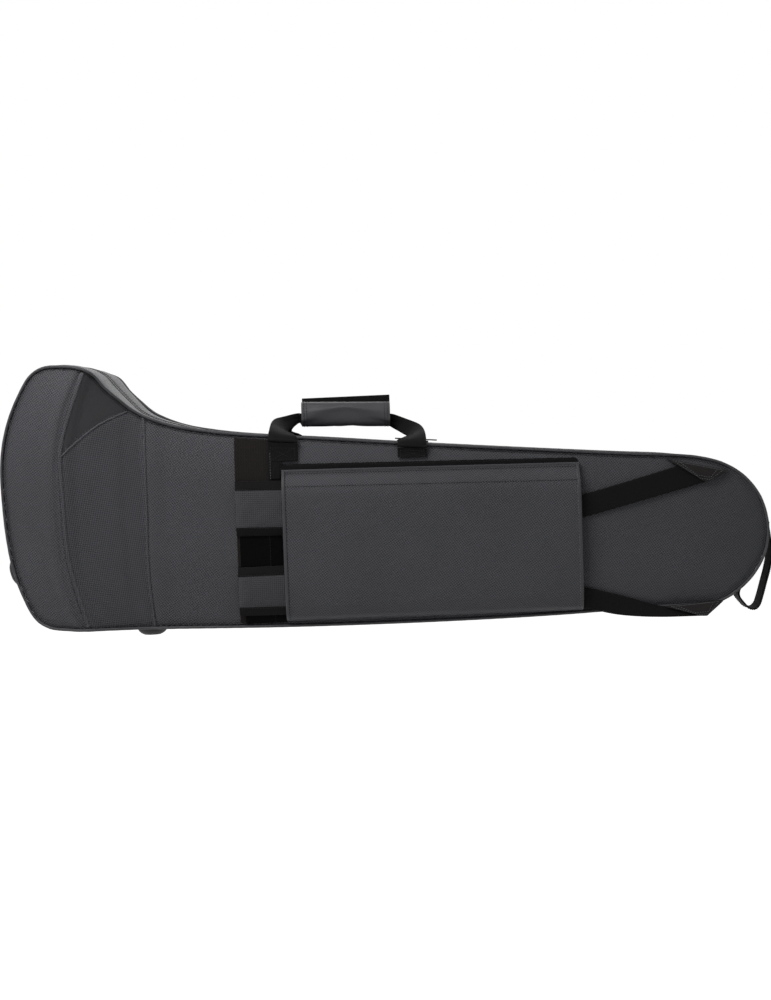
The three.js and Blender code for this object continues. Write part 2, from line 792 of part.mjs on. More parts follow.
// Upper and lower corner of a strap where it leaves its adjuster
function strapStart(shares) {
  const middle = padCentre(shares, 1);
  const upper = [strapStartX, middle + strapWidth / 2];
  return { upper, lower: [strapStartX, middle - strapWidth / 2], lean: 0 };
}

const upperEndShares = { upper: [0.885, 0.5513], lower: [0.917, 0.4852] };

function upperStrap() {
  const first = strapStart(upperPadShares);
  const steps = 12;
  return frontStrap(Array.from({ length: steps + 1 }, (unused, k) => ({
    upper: mixPlaces(first.upper, placeAt(upperEndShares.upper), k / steps),
    lower: mixPlaces(first.lower, placeAt(upperEndShares.lower), k / steps),
    lean: 0,
  })));
}

// Corners of the triangular tabs, [share of the length, share of the bell end's height]
const upperTabShares = { left: [0.8675, 0.5772], right: [0.949, 0.5257], apex: [0.918, 0.4883] };
const lowerTabShares = { left: [0.859, 0.0234], right: [0.938, 0.0406], apex: [0.910, -0.0134] };
const hangingShare = 0.365;
const tabRows = 8;

// The lower strap hangs slack and sinks to the lower edge before its tab. Each row gives its
// upper edge and its lower edge, each as [share of the way to the tab's far corner, share of the
// bell end's height], and its lean as a share of its width.
const lowerStrapShares = [
  [0.132, 0.1326, 0.132, 0.0499, 0], [0.310, 0.1092, 0.310, 0.0312, 0],
  [0.358, 0.1014, 0.365, 0.0209, 0], [0.460, 0.0811, 0.478, 0.0003, 0.077],
  [0.562, 0.0577, 0.591, -0.0097, 0.192], [0.653, 0.0321, 0.708, -0.0134, 0.269],
  [0.748, 0.0134, 0.843, -0.0134, 0.308],
];

function lowerStrap() {
  const reach = shareX(lowerTabShares.right[0]) - strapStartX;
  const place = (along, up) => [strapStartX + reach * along, shareZ(up)];
  const rest = lowerStrapShares.map(([upperAlong, upperUp, lowerAlong, lowerUp, lean]) => ({
    upper: place(upperAlong, upperUp),
    lower: place(lowerAlong, lowerUp),
    lean: lean * strapWidth,
  }));
  return frontStrap([strapStart(lowerPadShares), ...rest]);
}

// Webbing tab sewn into the edge seam, with the strap's end under its point. The hanging one
// leans out with its strap.
function anchorTab(shares, hanging) {
  const [left, right, apex] = [shares.left, shares.right, shares.apex].map(placeAt);
  return facePlate((u, v) => {
    const point = [apex[0] + (u - 1 / 2) * tabTip, apex[1]];
    const [x, z] = mixPlaces(mixPlaces(left, right, u), point, v);
    const overStrap = Math.min(1, v * tabRows);
    if (hanging) {
      const inner = touchGap + 2 * strapThickness * overStrap + hangingShare * strapWidth * v;
      return { x, z, depth: edgeDepth(x) + pipingReach, inner, outer: inner + tabThickness };
    }
    const inner = clothGap + (padInner + strapThickness * 3 / 2) * overStrap;
    return { x, z, inner, outer: inner + tabThickness };
  }, 6, tabRows);
}

// Strap-cover flap: hinged along its lower edge, bulging over the pads, closing on the hook strip
const flapTop = flapFoot + flapHeight;
const hookTop = flapTop + hookStripHeight - loopStripHeight;
const hookBottom = hookTop - hookStripHeight;
const loopInner = clothGap + hookStripThickness + touchGap;
const flapRest = loopInner + loopStripThickness + touchGap;

function hookStrip() {
  return facePlate((u, v) => ({
    x: flapX + u * flapWidth,
    z: hookBottom + v * hookStripHeight,
    inner: clothGap,
    outer: clothGap + hookStripThickness,
  }), 8, 3);
}

function loopStrip() {
  const width = flapWidth - 2 * loopStripMargin;
  const height = loopStripHeight - loopStripMargin / 2;
  return facePlate((u, v) => ({
    x: flapX + loopStripMargin + u * width,
    z: hookBottom + v * height,
    inner: loopInner,
    outer: loopInner + loopStripThickness,
  }), 8, 2);
}

// How far the flap stands off the face, [share of its height, share of the standoff]
const flapBulgeShares = [
  [0, 0.04], [0.012, 0.45], [0.03, 0.75], [0.06, 0.86], [0.1, 1], [0.16, 1], [0.26, 1.01],
  [0.38, 1.02], [0.5, 1.03], [0.62, 1.02], [0.74, 1.01], [0.84, 1], [0.9, 0.84],
  [0.925, 0.68], [0.942, 0.52], [0.958, 0.36], [1, 0.34],
];

function coverFlap() {
  const across = 9;
  const hinge = flapHinge();
  const grids = [flapThickness, 0].map((grow) => Array.from({ length: across + 1 }, (unused, i) => {
    const x = flapX + flapWidth * i / across;
    return flapBulgeShares.map(([up, bulge]) => {
      const z = flapFoot + up * flapHeight;
      const rest = Math.max(bulge * flapStandoff, z > hookBottom ? flapRest : 0);
      const depth = up === 0 ? hinge.depthAt(x) - flapThickness / 2 : faceDepth(x, z) + rest;
      return new Vector3(x, -(depth + grow), z);
    });
  }));
  return gridSolid(grids[0], grids[1]);
}

// Straight line that the flap folds about, just clear of the face along its whole length
function flapHinge() {
  const clear = 2 * clothGap + flapThickness / 2;
  const ends = [flapX, flapX + flapWidth].map((x) => faceDepth(x, flapFoot) + clear);
  const depthAt = (x) => ends[0] + (ends[1] - ends[0]) * (x - flapX) / flapWidth;
  return { ends, depthAt };
}

piece('strap_panel', strapPanel(), 'panel');
piece('shoulder_pad_upper', shoulderPad(upperPadShares), 'pad');
piece('shoulder_pad_lower', shoulderPad(lowerPadShares), 'pad');
piece('strap_adjuster_upper', adjuster(adjusterX, padCentre(upperPadShares, 1)), 'plastic');
piece('strap_adjuster_lower', adjuster(adjusterX, padCentre(lowerPadShares, 1)), 'plastic');
piece('strap_upper', upperStrap(), 'webbing');
piece('strap_lower', lowerStrap(), 'webbing');
piece('anchor_tab_upper', anchorTab(upperTabShares, false), 'panel');
piece('anchor_tab_lower', anchorTab(lowerTabShares, true), 'panel');
piece('hook_strip', hookStrip(), 'hook');
piece('loop_strip', loopStrip(), 'hook');
piece('cover_flap', coverFlap(), 'shell');

// Carry handle: sewn legs on each face, and a loop that swings at the top of the legs

const bellLegX = shareX(placeShares.bellLeg);
const slideLegX = shareX(placeShares.slideLeg);
const gripMiddleX = (bellLegX + slideLegX) / 2;
const hemSides = 8;
const legPower = 3;

// Place of the hem that a handle loop swings about: in front of the piping, at the top of a leg
function hemPlace(x) {
  const z = topAt(x).z - hemRadius;
  return new Vector3(x, faceDepth(x, z - touchGap) + pipingReach + hemRadius, z);
}

// Line from the bell-side hem to the slide-side hem, which the loop swings about
const hemLine = hemPlace(slideLegX).sub(hemPlace(bellLegX));
const hemSlope = hemLine.z / hemLine.x;
const hemLean = -hemLine.y / hemLine.x;

// Leg sewn to the face above the hook strip, over the edge of the panel where there is one,
// bending out to the hem at its top
function sewnLeg(x, side) {
  const hem = hemPlace(x);
  const top = hem.z - hemRadius - touchGap;
  const foot = hookTop + clothGap;
  const rest = side < 0 ? clothGap + panelThickness + touchGap : clothGap;
  const lift = hem.y - faceDepth(x, top) - rest - webThickness / 2;
  const plate = facePlate((u, v) => {
    const along = (u - 1 / 2) * webWidth;
    const inner = rest + lift * v ** legPower;
    return {
      x: x + along,
      z: foot + (top - foot) * v + (topAt(x + along).z - topAt(x).z) * v,
      inner,
      outer: inner + webThickness,
    };
  }, 3, 6);
  return mirrored(plate, side);
}

// Puts a piece made for the strap side on the side asked for
function mirrored(geometry, side) {
  if (side < 0) return geometry;
  geometry.scale(1, -1, 1);
  const order = geometry.index.array;
  for (let k = 0; k < order.length; k += 3) [order[k], order[k + 1]] = [order[k + 1], order[k]];
  return geometry;
}

const gripMiddleZ = topAt(gripMiddleX).z + gripMiddleRise;
const gripZ = (x) => gripMiddleZ - gripSlopeShare * (x - gripMiddleX);

// Run of the webbing from a hem up over the piping, back to the grip's line and folded there.
// along, back, rise, wide and folded are shares of the fold's offset, the way back from the hem,
// the corner's rise, half the flat width and half the folded width.
const loopRunShares = [
  { along: 0, back: 0, rise: 0.22, wide: 1, folded: 0 },
  { along: 0, back: 0.072, rise: 0.64, wide: 0.97, folded: 0 },
  { along: -0.25, back: 0.5, rise: 0.9, wide: 0.72, folded: 0.33 },
  { along: -0.33, back: 1, rise: 1, wide: 0.5, folded: 0.9 },
  { along: 1, back: 1, rise: 1.34, wide: 0.04, folded: 1 },
];

// Half of the loop, from its hem to the grip; dir is the way from the hem towards the grip
function loopHalf(x, dir) {
  const half = webWidth / 2;
  const fold = foldedWebWidth / 2;
  const hem = hemPlace(x);
  const top = topAt(x).z;
  const inside = gripMiddleX - dir * gripLength / 2;
  const run = loopRunShares.map(({ along, back, rise, wide, folded }) => station(
    x + dir * foldOffset * along,
    -(hem.y + (handleStandoff - hem.y) * back),
    top + cornerRise * rise,
    half * wide,
    half * hemLean * (1 - folded),
    half * hemSlope * (1 - folded) - dir * fold * folded,
  ));
  const first = station(x, -hem.y, hem.z, half, half * hemLean, half * hemSlope);
  const last = station(inside, -handleStandoff, gripZ(inside) - webBelowGrip, 0, 0, -dir * fold);
  return [first, ...run, last];
}

function handleLoop(side) {
  const bellHalf = loopHalf(bellLegX, 1);
  const slideHalf = loopHalf(slideLegX, -1).reverse();
  slideHalf.forEach((spot) => spot.half.negate());
  const webbing = ribbon([...bellHalf, ...slideHalf], webThickness);
  return mirrored(join([webbing, hemRoll(bellLegX), hemRoll(slideLegX)]), side);
}

// Rolled hem at the foot of the loop, along the line it swings about
function hemRoll(x) {
  const roll = new THREE.CylinderGeometry(hemRadius, hemRadius, webWidth, hemSides);
  const hem = hemPlace(x);
  const along = new Vector3(1, hemLean, hemSlope).normalize();
  const turn = new THREE.Quaternion().setFromUnitVectors(new Vector3(0, 1, 0), along);
  return roll.applyQuaternion(turn).translate(x, -hem.y, hem.z);
}

// Padded grip: a rounded bar with a slot that the folded webbing runs through
const gripSides = 14;
const gripPower = 0.62;

function gripSection(x, grow, from, to) {
  return Array.from({ length: gripSides + 1 }, (unused, k) => {
    const angle = from + (to - from) * k / gripSides;
    const [c, s] = [Math.cos(angle), Math.sin(angle)];
    return new Vector3(
      x,
      -handleStandoff + (gripThickness / 2 + grow) * Math.sign(c) * Math.abs(c) ** gripPower,
      gripZ(x) + (gripHeight / 2 + grow) * Math.sign(s) * Math.abs(s) ** gripPower,
    );
  });
}

function gripWrap() {
  const ends = [-1, 1].map((end) => {
    const loop = gripSection(gripMiddleX + end * gripLength / 2, 0, 0, 2 * Math.PI);
    loop.pop();
    return loop;
  });
  const shape = ends[0].map((point) => new THREE.Vector2(point.y, point.z));
  const body = sectionSolid(ends, false, shape);
  const fold = foldedWebWidth / 2 + touchGap;
  const slot = ribbon([-1, 1].map((end) => {
    const x = gripMiddleX + end * (gripLength / 2 + cutOverrun);
    return station(x, -handleStandoff, gripZ(x) - webBelowGrip, 0, 0, fold);
  }), webThickness + 2 * touchGap);
  return cut(body, [slot]);
}

// Closing flap of the grip: hinged on top, curved down over the front, notched at its free edge.
// Its two edges lie at these shares of a full turn about the grip.
const gripFlapShares = { hinge: 0.26, free: 0.665 };
const notchShare = 0.09;
const notchPeak = 7;

function gripFlap() {
  const steps = 8;
  const [hinge, free] = [gripFlapShares.hinge, gripFlapShares.free].map((turn) => turn * 2 * Math.PI);
  const grids = [gripFlapThickness + touchGap, touchGap].map((grow) => Array.from(
    { length: steps + 1 },
    (unused, i) => {
      const across = i / steps - 1 / 2;
      const notch = notchShare * Math.exp(-((across * notchPeak) ** 2));
      const edge = free - (free - hinge) * notch;
      return gripSection(gripMiddleX + across * gripLength, grow, hinge, edge);
    },
  ));
  return gridSolid(grids[0], grids[1]);
}

// Black tongue of the grip, standing up behind it
function gripTongue() {
  const y = -handleStandoff + gripThickness / 2 + touchGap + tongueThickness / 2;
  const half = tongueHeight / 2;
  return ribbon([-1, 1].map((end) => {
    const x = gripMiddleX + end * gripLength / 2;
    return station(x, y, gripZ(x) + gripHeight / 2 + tongueRise - half, 0, 0, half);
  }), tongueThickness);
}

for (const [side, half] of [[-1, 'base'], [1, 'lid']]) {
  piece(`${half}_handle_leg_bell`, sewnLeg(bellLegX, side), 'webbing');
  piece(`${half}_handle_leg_slide`, sewnLeg(slideLegX, side), 'webbing');
  piece(`${half}_handle_loop`, handleLoop(side), 'webbing');
}
piece('grip_wrap', gripWrap(), 'shell');
piece('grip_flap', gripFlap(), 'shell');
piece('grip_tongue', gripTongue(), 'hook');

// Grab handle on the slide end: a slack loop of webbing between two sewn patches on the wall

// Slack of the loop, [share of the way from its upper to its lower end, share of the slack]
const slackShares = [
  [0.12, 0.5], [0.3, 0.83], [0.5, 0.94], [0.7, 1], [0.86, 0.94], [0.97, 0.86], [1.04, 0.5],
];
const endLoopSteps = 22;
const patchSteps = 4;

// Point on the end wall at a height, and the direction straight out of the wall there
function wallSpot(z) {
  const reach = endPatchLength / 4;
  const along = slideEndAt(z + reach).sub(slideEndAt(z - reach)).normalize();
  return { point: slideEndAt(z).setY(endHandleY), out: new Vector3(along.z, 0, -along.x) };
}

function endPatch(low, high) {
  const half = new Vector3(0, endHandleWidth / 2, 0);
  return ribbon(Array.from({ length: patchSteps + 1 }, (unused, k) => {
    const { point, out } = wallSpot(low + (high - low) * k / patchSteps);
    return { centre: point.addScaledVector(out, endWallGap + endPatchThickness / 2), half };
  }), endPatchThickness);
}

// Ends of the loop: a rolled hem beside each patch
function endHem(z) {
  const { point, out } = wallSpot(z);
  return point.addScaledVector(out, endWallGap + hemRadius);
}

function endLoop() {
  const top = endHem(endTopZ);
  const low = endHem(endLowZ);
  const line = low.clone().sub(top);
  const out = new Vector3(-line.z, 0, line.x).normalize();
  const belly = slackShares.map(([along, slack]) => {
    return top.clone().addScaledVector(line, along).addScaledVector(out, slack * endSlack);
  });
  const half = new Vector3(0, endHandleWidth / 2, 0);
  const run = new THREE.CatmullRomCurve3([top, ...belly, low]).getPoints(endLoopSteps);
  const webbing = ribbon(run.map((centre) => ({ centre, half })), webThickness);
  const hems = [top, low].map((place) => {
    const roll = new THREE.CylinderGeometry(hemRadius, hemRadius, endHandleWidth, hemSides);
    return roll.translate(place.x, place.y, place.z);
  });
  return join([webbing, ...hems]);
}

const patchGap = hemRadius + 2 * touchGap;
const upperPatchZ = endTopZ + patchGap;
const lowerPatchZ = endLowZ - patchGap;
piece('end_handle_patch_upper', endPatch(upperPatchZ, upperPatchZ + endPatchLength), 'webbing');
piece('end_handle_patch_lower', endPatch(lowerPatchZ - endPatchLength / 2, lowerPatchZ), 'webbing');
piece('end_handle', endLoop(), 'webbing');

// Inside: foam inserts with the places for the bell, the body, the slide and the small things

function insertBlock(side) {
  const sunk = faceGrid(side, wallThickness + insertFit, faceThickness + insertFit);
  const level = (point) => new Vector3(point.x, side * insertDrop, point.z);
  return gridSolid(sunk, sunk.map((column) => column.map(level)));
}

// Well for the bell: a flare turned about the middle line of the bell, [share of the well's
// length, share of its radius]
const bellFlareShares = [
  [0, 0.72], [0.08, 0.88], [0.125, 1], [0.16, 0.98], [0.22, 0.78], [0.34, 0.56],
  [0.53, 0.38], [0.78, 0.28], [1, 0.24],
];
const bellWellSides = 28;

function bellWell() {
  const profile = bellFlareShares.map(([along, r]) => {
    return new THREE.Vector2(r * bellWellRadius, along * bellWellLength);
  });
  profile.unshift(new THREE.Vector2(0, 0));
  profile.push(new THREE.Vector2(0, bellWellLength));
  const flare = new THREE.LatheGeometry(profile, bellWellSides);
  return flare.rotateZ(-Math.PI / 2).translate(shareX(placeShares.bellWell), 0, bellAxisHeight);
}

// Rounded recess cut down from the insert's open side
function recess(side, x, z, length, height, depth, radius) {
  const mouth = side * (insertDrop - cutOverrun);
  const floor = side * (insertDrop + depth);
  return roundedBlock(
    new Vector3(x, Math.min(mouth, floor), z),
    new Vector3(x + length, Math.max(mouth, floor), z + height),
    radius,
  );
}

const pocketX = shareX(placeShares.pocket);
const binX = shareX(placeShares.bin);
const channelX = shareX(placeShares.channel);

function mouthpieceHole() {
  const length = mouthpieceDepth + cutOverrun;
  const tip = mouthpieceRadius * mouthpieceTaperShare;
  const hole = new THREE.CylinderGeometry(mouthpieceRadius, tip, length, 16);
  const y = -insertDrop + cutOverrun - length / 2;
  return hole.translate(shareX(placeShares.mouthpiece), y, mouthpieceZ);
}

piece('base_insert', cut(insertBlock(-1), [
  bellWell(),
  recess(-1, pocketX, pocketZ, pocketLength, pocketHeight, pocketDepth, pocketRadius),
  recess(-1, binX, binZ, binLength, binHeight, binDepth, binRadius),
  mouthpieceHole(),
]), 'plush');
piece('lid_insert', cut(insertBlock(1), [
  bellWell(),
  recess(1, channelX, channelZ, channelLength, channelHeight, channelDepth, channelRadius),
]), 'plush');

// Padded cover of the accessory bin, hinged along its lower edge
function binCover() {
  const y = -insertDrop + touchGap;
  const lap = new Vector3(binCoverLap, 0, binCoverLap);
  const low = new Vector3(binX, y, binZ).sub(lap);
  const high = new Vector3(binX + binLength, y + binCoverThickness, binZ + binHeight).add(lap);
  return roundedBlock(low, high, 2 * binCoverLap);
}

// Retaining strap across the slide channel, sewn to the insert above and below it
function retainer(x) {
  const y = insertDrop - touchGap - retainerThickness;
  return boxBetween(
    new Vector3(x - retainerWidth / 2, y, channelZ - retainerLap),
    new Vector3(x + retainerWidth / 2, y + retainerThickness, channelZ + channelHeight + retainerLap),
  );
}

piece('bin_cover', binCover(), 'plush');
placeShares.retainers.forEach((share, k) => {
  piece(`slide_retainer_${k + 1}`, retainer(shareX(share)), 'webbing');
});

// Zip sliders, parked side by side behind the slide-side leg of the handle

const [runFrom, runTo] = placeShares.zipRun.map((share) => topAt(shareX(share)));
const zipTilt = Math.atan2(runTo.z - runFrom.z, runTo.x - runFrom.x);
const zipOut = new Vector3(-Math.sin(zipTilt), 0, Math.cos(zipTilt));

function shapeOf(points) {
  return new THREE.Shape(points.map(([x, y]) => new THREE.Vector2(x, y)));
}

// Half of the slider's plan, [share of half its length, share of its width], nose first
const sliderPlanShares = [[-1, 0.32], [0.5, 0.5], [1, 0.36]];
const archChamferShare = 0.6;

// Slider body with the bridge that its pull hangs on
function sliderBody() {
  const side = sliderPlanShares.map(([along, wide]) => [along * sliderLength / 2, wide * sliderWidth]);
  const plan = [...side.map(([x, y]) => [x, -y]), ...side.slice().reverse()];
  const plate = new THREE.ExtrudeGeometry(shapeOf(plan), { depth: sliderThickness, bevelEnabled: false });
  const reach = bridgeLength / 2;
  const open = 2 * (pullRod + pullGap);
  const chamfer = bridgePost * archChamferShare;
  const foot = -sliderThickness / 2;
  const archSide = [
    [reach - bridgePost, foot], [reach, foot], [reach, open + chamfer],
    [reach - chamfer, open + bridgePost],
  ];
  const arch = [
    ...archSide, ...archSide.map(([x, z]) => [-x, z]).reverse(),
    [bridgePost - reach, open], [reach - bridgePost, open],
  ];
  const bridge = new THREE.ExtrudeGeometry(shapeOf(arch), { depth: bridgeWidth, bevelEnabled: false });
  bridge.rotateX(Math.PI / 2).translate(0, bridgeWidth / 2, sliderThickness);
  return join([plate, bridge]);
}

// Pull tab: a flat plate with a long hole whose end rod turns under the slider's bridge
const pullPlanShares = [[0.3, 0], [0.45, 1], [0.9, 1], [1, 0.6]];
const pullHoleShare = 0.75;

function pullTab() {
  const gap = bridgeWidth / 2 + pullGap;
  const neck = (gap + pullWidth / 2) / 2;
  const side = pullPlanShares.map(([along, wide]) => [
    along * pullLength,
    neck + (pullWidth / 2 - neck) * wide,
  ]);
  const half = [[-pullRod, neck], ...side];
  const plan = shapeOf([...half.map(([x, y]) => [x, -y]), ...half.slice().reverse()]);
  const far = bridgeLength * pullHoleShare;
  plan.holes.push(shapeOf([[pullRod, -gap], [far, -gap], [far, gap], [pullRod, gap]]));
  const plate = new THREE.ExtrudeGeometry(plan, { depth: pullThickness, bevelEnabled: false });
  return plate.translate(0, 0, -pullThickness / 2);
}

for (const [name, dir] of [['bell', -1], ['slide', 1]]) {
  const turn = dir > 0 ? 0 : Math.PI;
  const seat = topAt(slideLegX + sliderParkOffset + dir * (sliderLength + sliderGap) / 2);
  seat.addScaledVector(zipOut, coilTop + touchGap);
  const axis = seat.clone().addScaledVector(zipOut, sliderThickness + pullRod + pullGap);
  const body = sliderBody().rotateZ(turn).rotateY(-zipTilt).translate(seat.x, 0, seat.z);
  const tab = pullTab().rotateZ(turn).rotateY(-zipTilt).translate(axis.x, 0, axis.z);
  piece(`zip_slider_${name}`, body, 'metal');
  piece(`zip_pull_${name}`, tab, 'metal');
}

export default trombone_case;
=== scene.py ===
import json
import math

import bmesh
import bpy
import numpy as np
from mathutils import Matrix, Vector
from mathutils.bvhtree import BVHTree

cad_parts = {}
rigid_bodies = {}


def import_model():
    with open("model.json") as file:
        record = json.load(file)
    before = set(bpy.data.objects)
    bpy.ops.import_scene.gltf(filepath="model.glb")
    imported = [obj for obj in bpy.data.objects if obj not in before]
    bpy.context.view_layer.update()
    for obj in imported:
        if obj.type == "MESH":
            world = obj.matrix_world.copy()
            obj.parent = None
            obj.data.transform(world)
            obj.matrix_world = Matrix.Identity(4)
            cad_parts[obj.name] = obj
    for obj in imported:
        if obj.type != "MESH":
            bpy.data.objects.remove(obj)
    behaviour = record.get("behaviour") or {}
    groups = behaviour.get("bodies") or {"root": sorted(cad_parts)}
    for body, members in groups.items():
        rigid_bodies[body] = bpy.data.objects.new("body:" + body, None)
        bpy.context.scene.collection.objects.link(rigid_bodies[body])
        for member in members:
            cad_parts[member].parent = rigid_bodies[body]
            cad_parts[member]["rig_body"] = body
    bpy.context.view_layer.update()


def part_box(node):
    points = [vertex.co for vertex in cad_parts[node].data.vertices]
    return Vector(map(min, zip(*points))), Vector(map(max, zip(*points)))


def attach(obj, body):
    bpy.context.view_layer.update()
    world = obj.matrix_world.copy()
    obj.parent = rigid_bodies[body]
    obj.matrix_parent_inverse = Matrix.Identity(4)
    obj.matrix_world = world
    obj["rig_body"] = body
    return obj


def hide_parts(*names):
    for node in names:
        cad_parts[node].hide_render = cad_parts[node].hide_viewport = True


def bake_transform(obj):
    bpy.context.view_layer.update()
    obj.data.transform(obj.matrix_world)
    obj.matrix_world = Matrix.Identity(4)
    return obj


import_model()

MM = 0.001

# Camera

CAMERA_PLACE = (-6.2, -2108.0, 234.3)
CAMERA_PITCH = math.radians(2.303)
CAMERA_ROLL = math.radians(1.96)
PICTURE_HEIGHT = 1000
FOCAL_PIXELS = 1698.7
SENSOR = 36.0
SIGHT = 50.0


def put_in(name, data):
    """A new object in the scene."""
    item = bpy.data.objects.new(name, data)
    bpy.context.scene.collection.objects.link(item)
    return item


def make_camera():
    data = bpy.data.cameras.new("camera")
    data.sensor_fit = "VERTICAL"
    data.sensor_height = SENSOR
    data.lens = FOCAL_PIXELS / PICTURE_HEIGHT * SENSOR
    data.clip_end = SIGHT
    camera = put_in("camera", data)
    ahead = Vector((0, math.cos(CAMERA_PITCH), -math.sin(CAMERA_PITCH)))
    level = Vector((1, 0, 0))
    up = level.cross(ahead)
    c, s = math.cos(CAMERA_ROLL), math.sin(CAMERA_ROLL)
    right, top = c * level - s * up, s * level + c * up
    turn = Matrix((right, top, -ahead)).transposed().to_4x4()
    camera.matrix_world = Matrix.Translation(Vector(CAMERA_PLACE) * MM) @ turn
    bpy.context.scene.camera = camera


make_camera()

# Outline of the case

CASE_LENGTH = 913.0
BELL_HEIGHT = 320.5
UNDERSIDE = 5.5
LEFT_SHIFT = 459.6
DEPTHS = np.array([96.0, 110.0, 86.0, 64.0])
CROWNS = np.array([14.0, 10.0])
CROWN_POWER = 3
WALL = 14.0
FACE_WALL = 12.0
RIM_GAP = 1.5
TOUCH = 0.3
CLOTH_GAP = 0.45
TAPE_WIDTH = 16.0
PIPING_ROOM = 2.5
PIPING_RADIUS = 1.75

# Places round the case, [share of its length, share of the bell's height]: first where the two
# halves meet, then where the cloth of a face turns over its edge. Both run along the bottom, up
# the slide end, back along the top and down the bell end.
WALL_OUTLINE = np.array([
    (0.039, 0.067), (0.056, 0.034), (0.080, 0.020), (0.118, 0.016),
    (0.222, 0.011), (0.387, 0.003), (0.562, 0.000), (0.715, 0.009),
    (0.825, 0.020), (0.904, 0.027), (0.934, 0.037), (0.958, 0.076),
    (0.979, 0.133), (0.994, 0.207), (1.000, 0.289), (0.997, 0.370),
    (0.988, 0.438), (0.968, 0.504), (0.942, 0.548), (0.912, 0.574),
    (0.874, 0.591), (0.819, 0.602), (0.562, 0.658), (0.430, 0.687),
    (0.301, 0.716), (0.257, 0.738), (0.222, 0.763), (0.194, 0.788),
    (0.172, 0.819), (0.156, 0.863), (0.140, 0.913), (0.125, 0.963),
    (0.108, 0.989), (0.080, 1.000), (0.060, 0.991), (0.044, 0.959),
    (0.030, 0.894), (0.014, 0.807), (0.004, 0.716), (0.000, 0.622),
    (0.001, 0.498), (0.004, 0.373), (0.011, 0.257), (0.021, 0.164),
])
FACE_OUTLINE = np.array([
    (0.0390, 0.0672), (0.0564, 0.0365), (0.0804, 0.0284), (0.1181, 0.0245),
    (0.2221, 0.0155), (0.3870, 0.0057), (0.5620, 0.0052), (0.7149, 0.0129),
    (0.8249, 0.0254), (0.9039, 0.0317), (0.9335, 0.0410), (0.9572, 0.0791),
    (0.9778, 0.1356), (0.9925, 0.2086), (0.9982, 0.2892), (0.9951, 0.3688),
    (0.9862, 0.4349), (0.9673, 0.5014), (0.9419, 0.5474), (0.9119, 0.5726),
    (0.8737, 0.5858), (0.8189, 0.5964), (0.5619, 0.6548), (0.4300, 0.6889),
    (0.3012, 0.7207), (0.2569, 0.7384), (0.2216, 0.7591), (0.1939, 0.7865),
    (0.1720, 0.8191), (0.1550, 0.8603), (0.1376, 0.9072), (0.1234, 0.9575),
    (0.1069, 0.9796), (0.0800, 0.9883), (0.0609, 0.9855), (0.0440, 0.9593),
    (0.0293, 0.8951), (0.0149, 0.8058), (0.0059, 0.7148), (0.0019, 0.6218),
    (0.0025, 0.4982), (0.0056, 0.3735), (0.0119, 0.2577), (0.0218, 0.1650),
])
BOTTOM_START, SLIDE_START, TOP_START, BELL_START = 0, 11, 17, 35

# bottom place, top place, bow of the bell end, bow of the slide end, four depths, two crowns
COLUMNS = np.array([
    (0.039, 0.044, 1.00, 0, 1, 0, 0, 0, 0, 0),
    (0.052, 0.054, 0.98, 0, 0.8, 0.2, 0, 0, 0.35, 0),
    (0.067, 0.070, 0.95, 0, 0.55, 0.45, 0, 0, 0.7, 0),
    (0.084, 0.090, 0.90, 0, 0.25, 0.75, 0, 0, 0.9, 0),
    (0.103, 0.113, 0.82, 0, 0, 1, 0, 0, 1, 0),
    (0.124, 0.128, 0.60, 0, 0, 0.74, 0.26, 0, 0.95, 0),
    (0.146, 0.146, 0.36, 0, 0, 0.44, 0.56, 0, 0.88, 0),
    (0.167, 0.164, 0.18, 0, 0, 0.17, 0.83, 0, 0.8, 0),
    (0.188, 0.181, 0.08, 0, 0, 0, 1, 0, 0, 1),
    (0.222, 0.215, 0.03, 0, 0, 0, 0.92, 0.08, 0, 1),
    (0.260, 0.257, 0, 0, 0, 0, 0.86, 0.14, 0, 1),
    (0.301, 0.301, 0, 0, 0, 0, 0.80, 0.20, 0, 1),
    (0.365, 0.365, 0, 0, 0, 0, 0.71, 0.29, 0, 1),
    (0.430, 0.430, 0, 0, 0, 0, 0.62, 0.38, 0, 1),
    (0.500, 0.500, 0, 0, 0, 0, 0.52, 0.48, 0, 1),
    (0.570, 0.570, 0, 0, 0, 0, 0.42, 0.58, 0, 1),
    (0.640, 0.640, 0, 0, 0, 0, 0.32, 0.68, 0, 1),
    (0.700, 0.700, 0, 0, 0, 0, 0.24, 0.76, 0, 1),
    (0.755, 0.755, 0, 0, 0, 0, 0.17, 0.83, 0, 1),
    (0.808, 0.810, 0, 0, 0, 0, 0.10, 0.90, 0, 0.97),
    (0.850, 0.853, 0, 0.06, 0, 0, 0.05, 0.95, 0, 0.92),
    (0.885, 0.890, 0, 0.22, 0, 0, 0.02, 0.98, 0, 0.83),
    (0.915, 0.920, 0, 0.48, 0, 0, 0, 1, 0, 0.64),
    (0.940, 0.946, 0, 0.78, 0, 0, 0, 1, 0, 0.33),
    (0.958, 0.968, 0, 1.00, 0, 0, 0, 1, 0, 0),
])


def share_x(share):
    return share * CASE_LENGTH - LEFT_SHIFT


def share_z(share):
    return UNDERSIDE + share * BELL_HEIGHT


def hermite(a, b, ta, tb, s):
    s = s[:, None]
    return (
        a * (2 * s**3 - 3 * s**2 + 1) + ta * (s**3 - 2 * s**2 + s)
        + b * (3 * s**2 - 2 * s**3) + tb * (s**3 - s**2)
    )


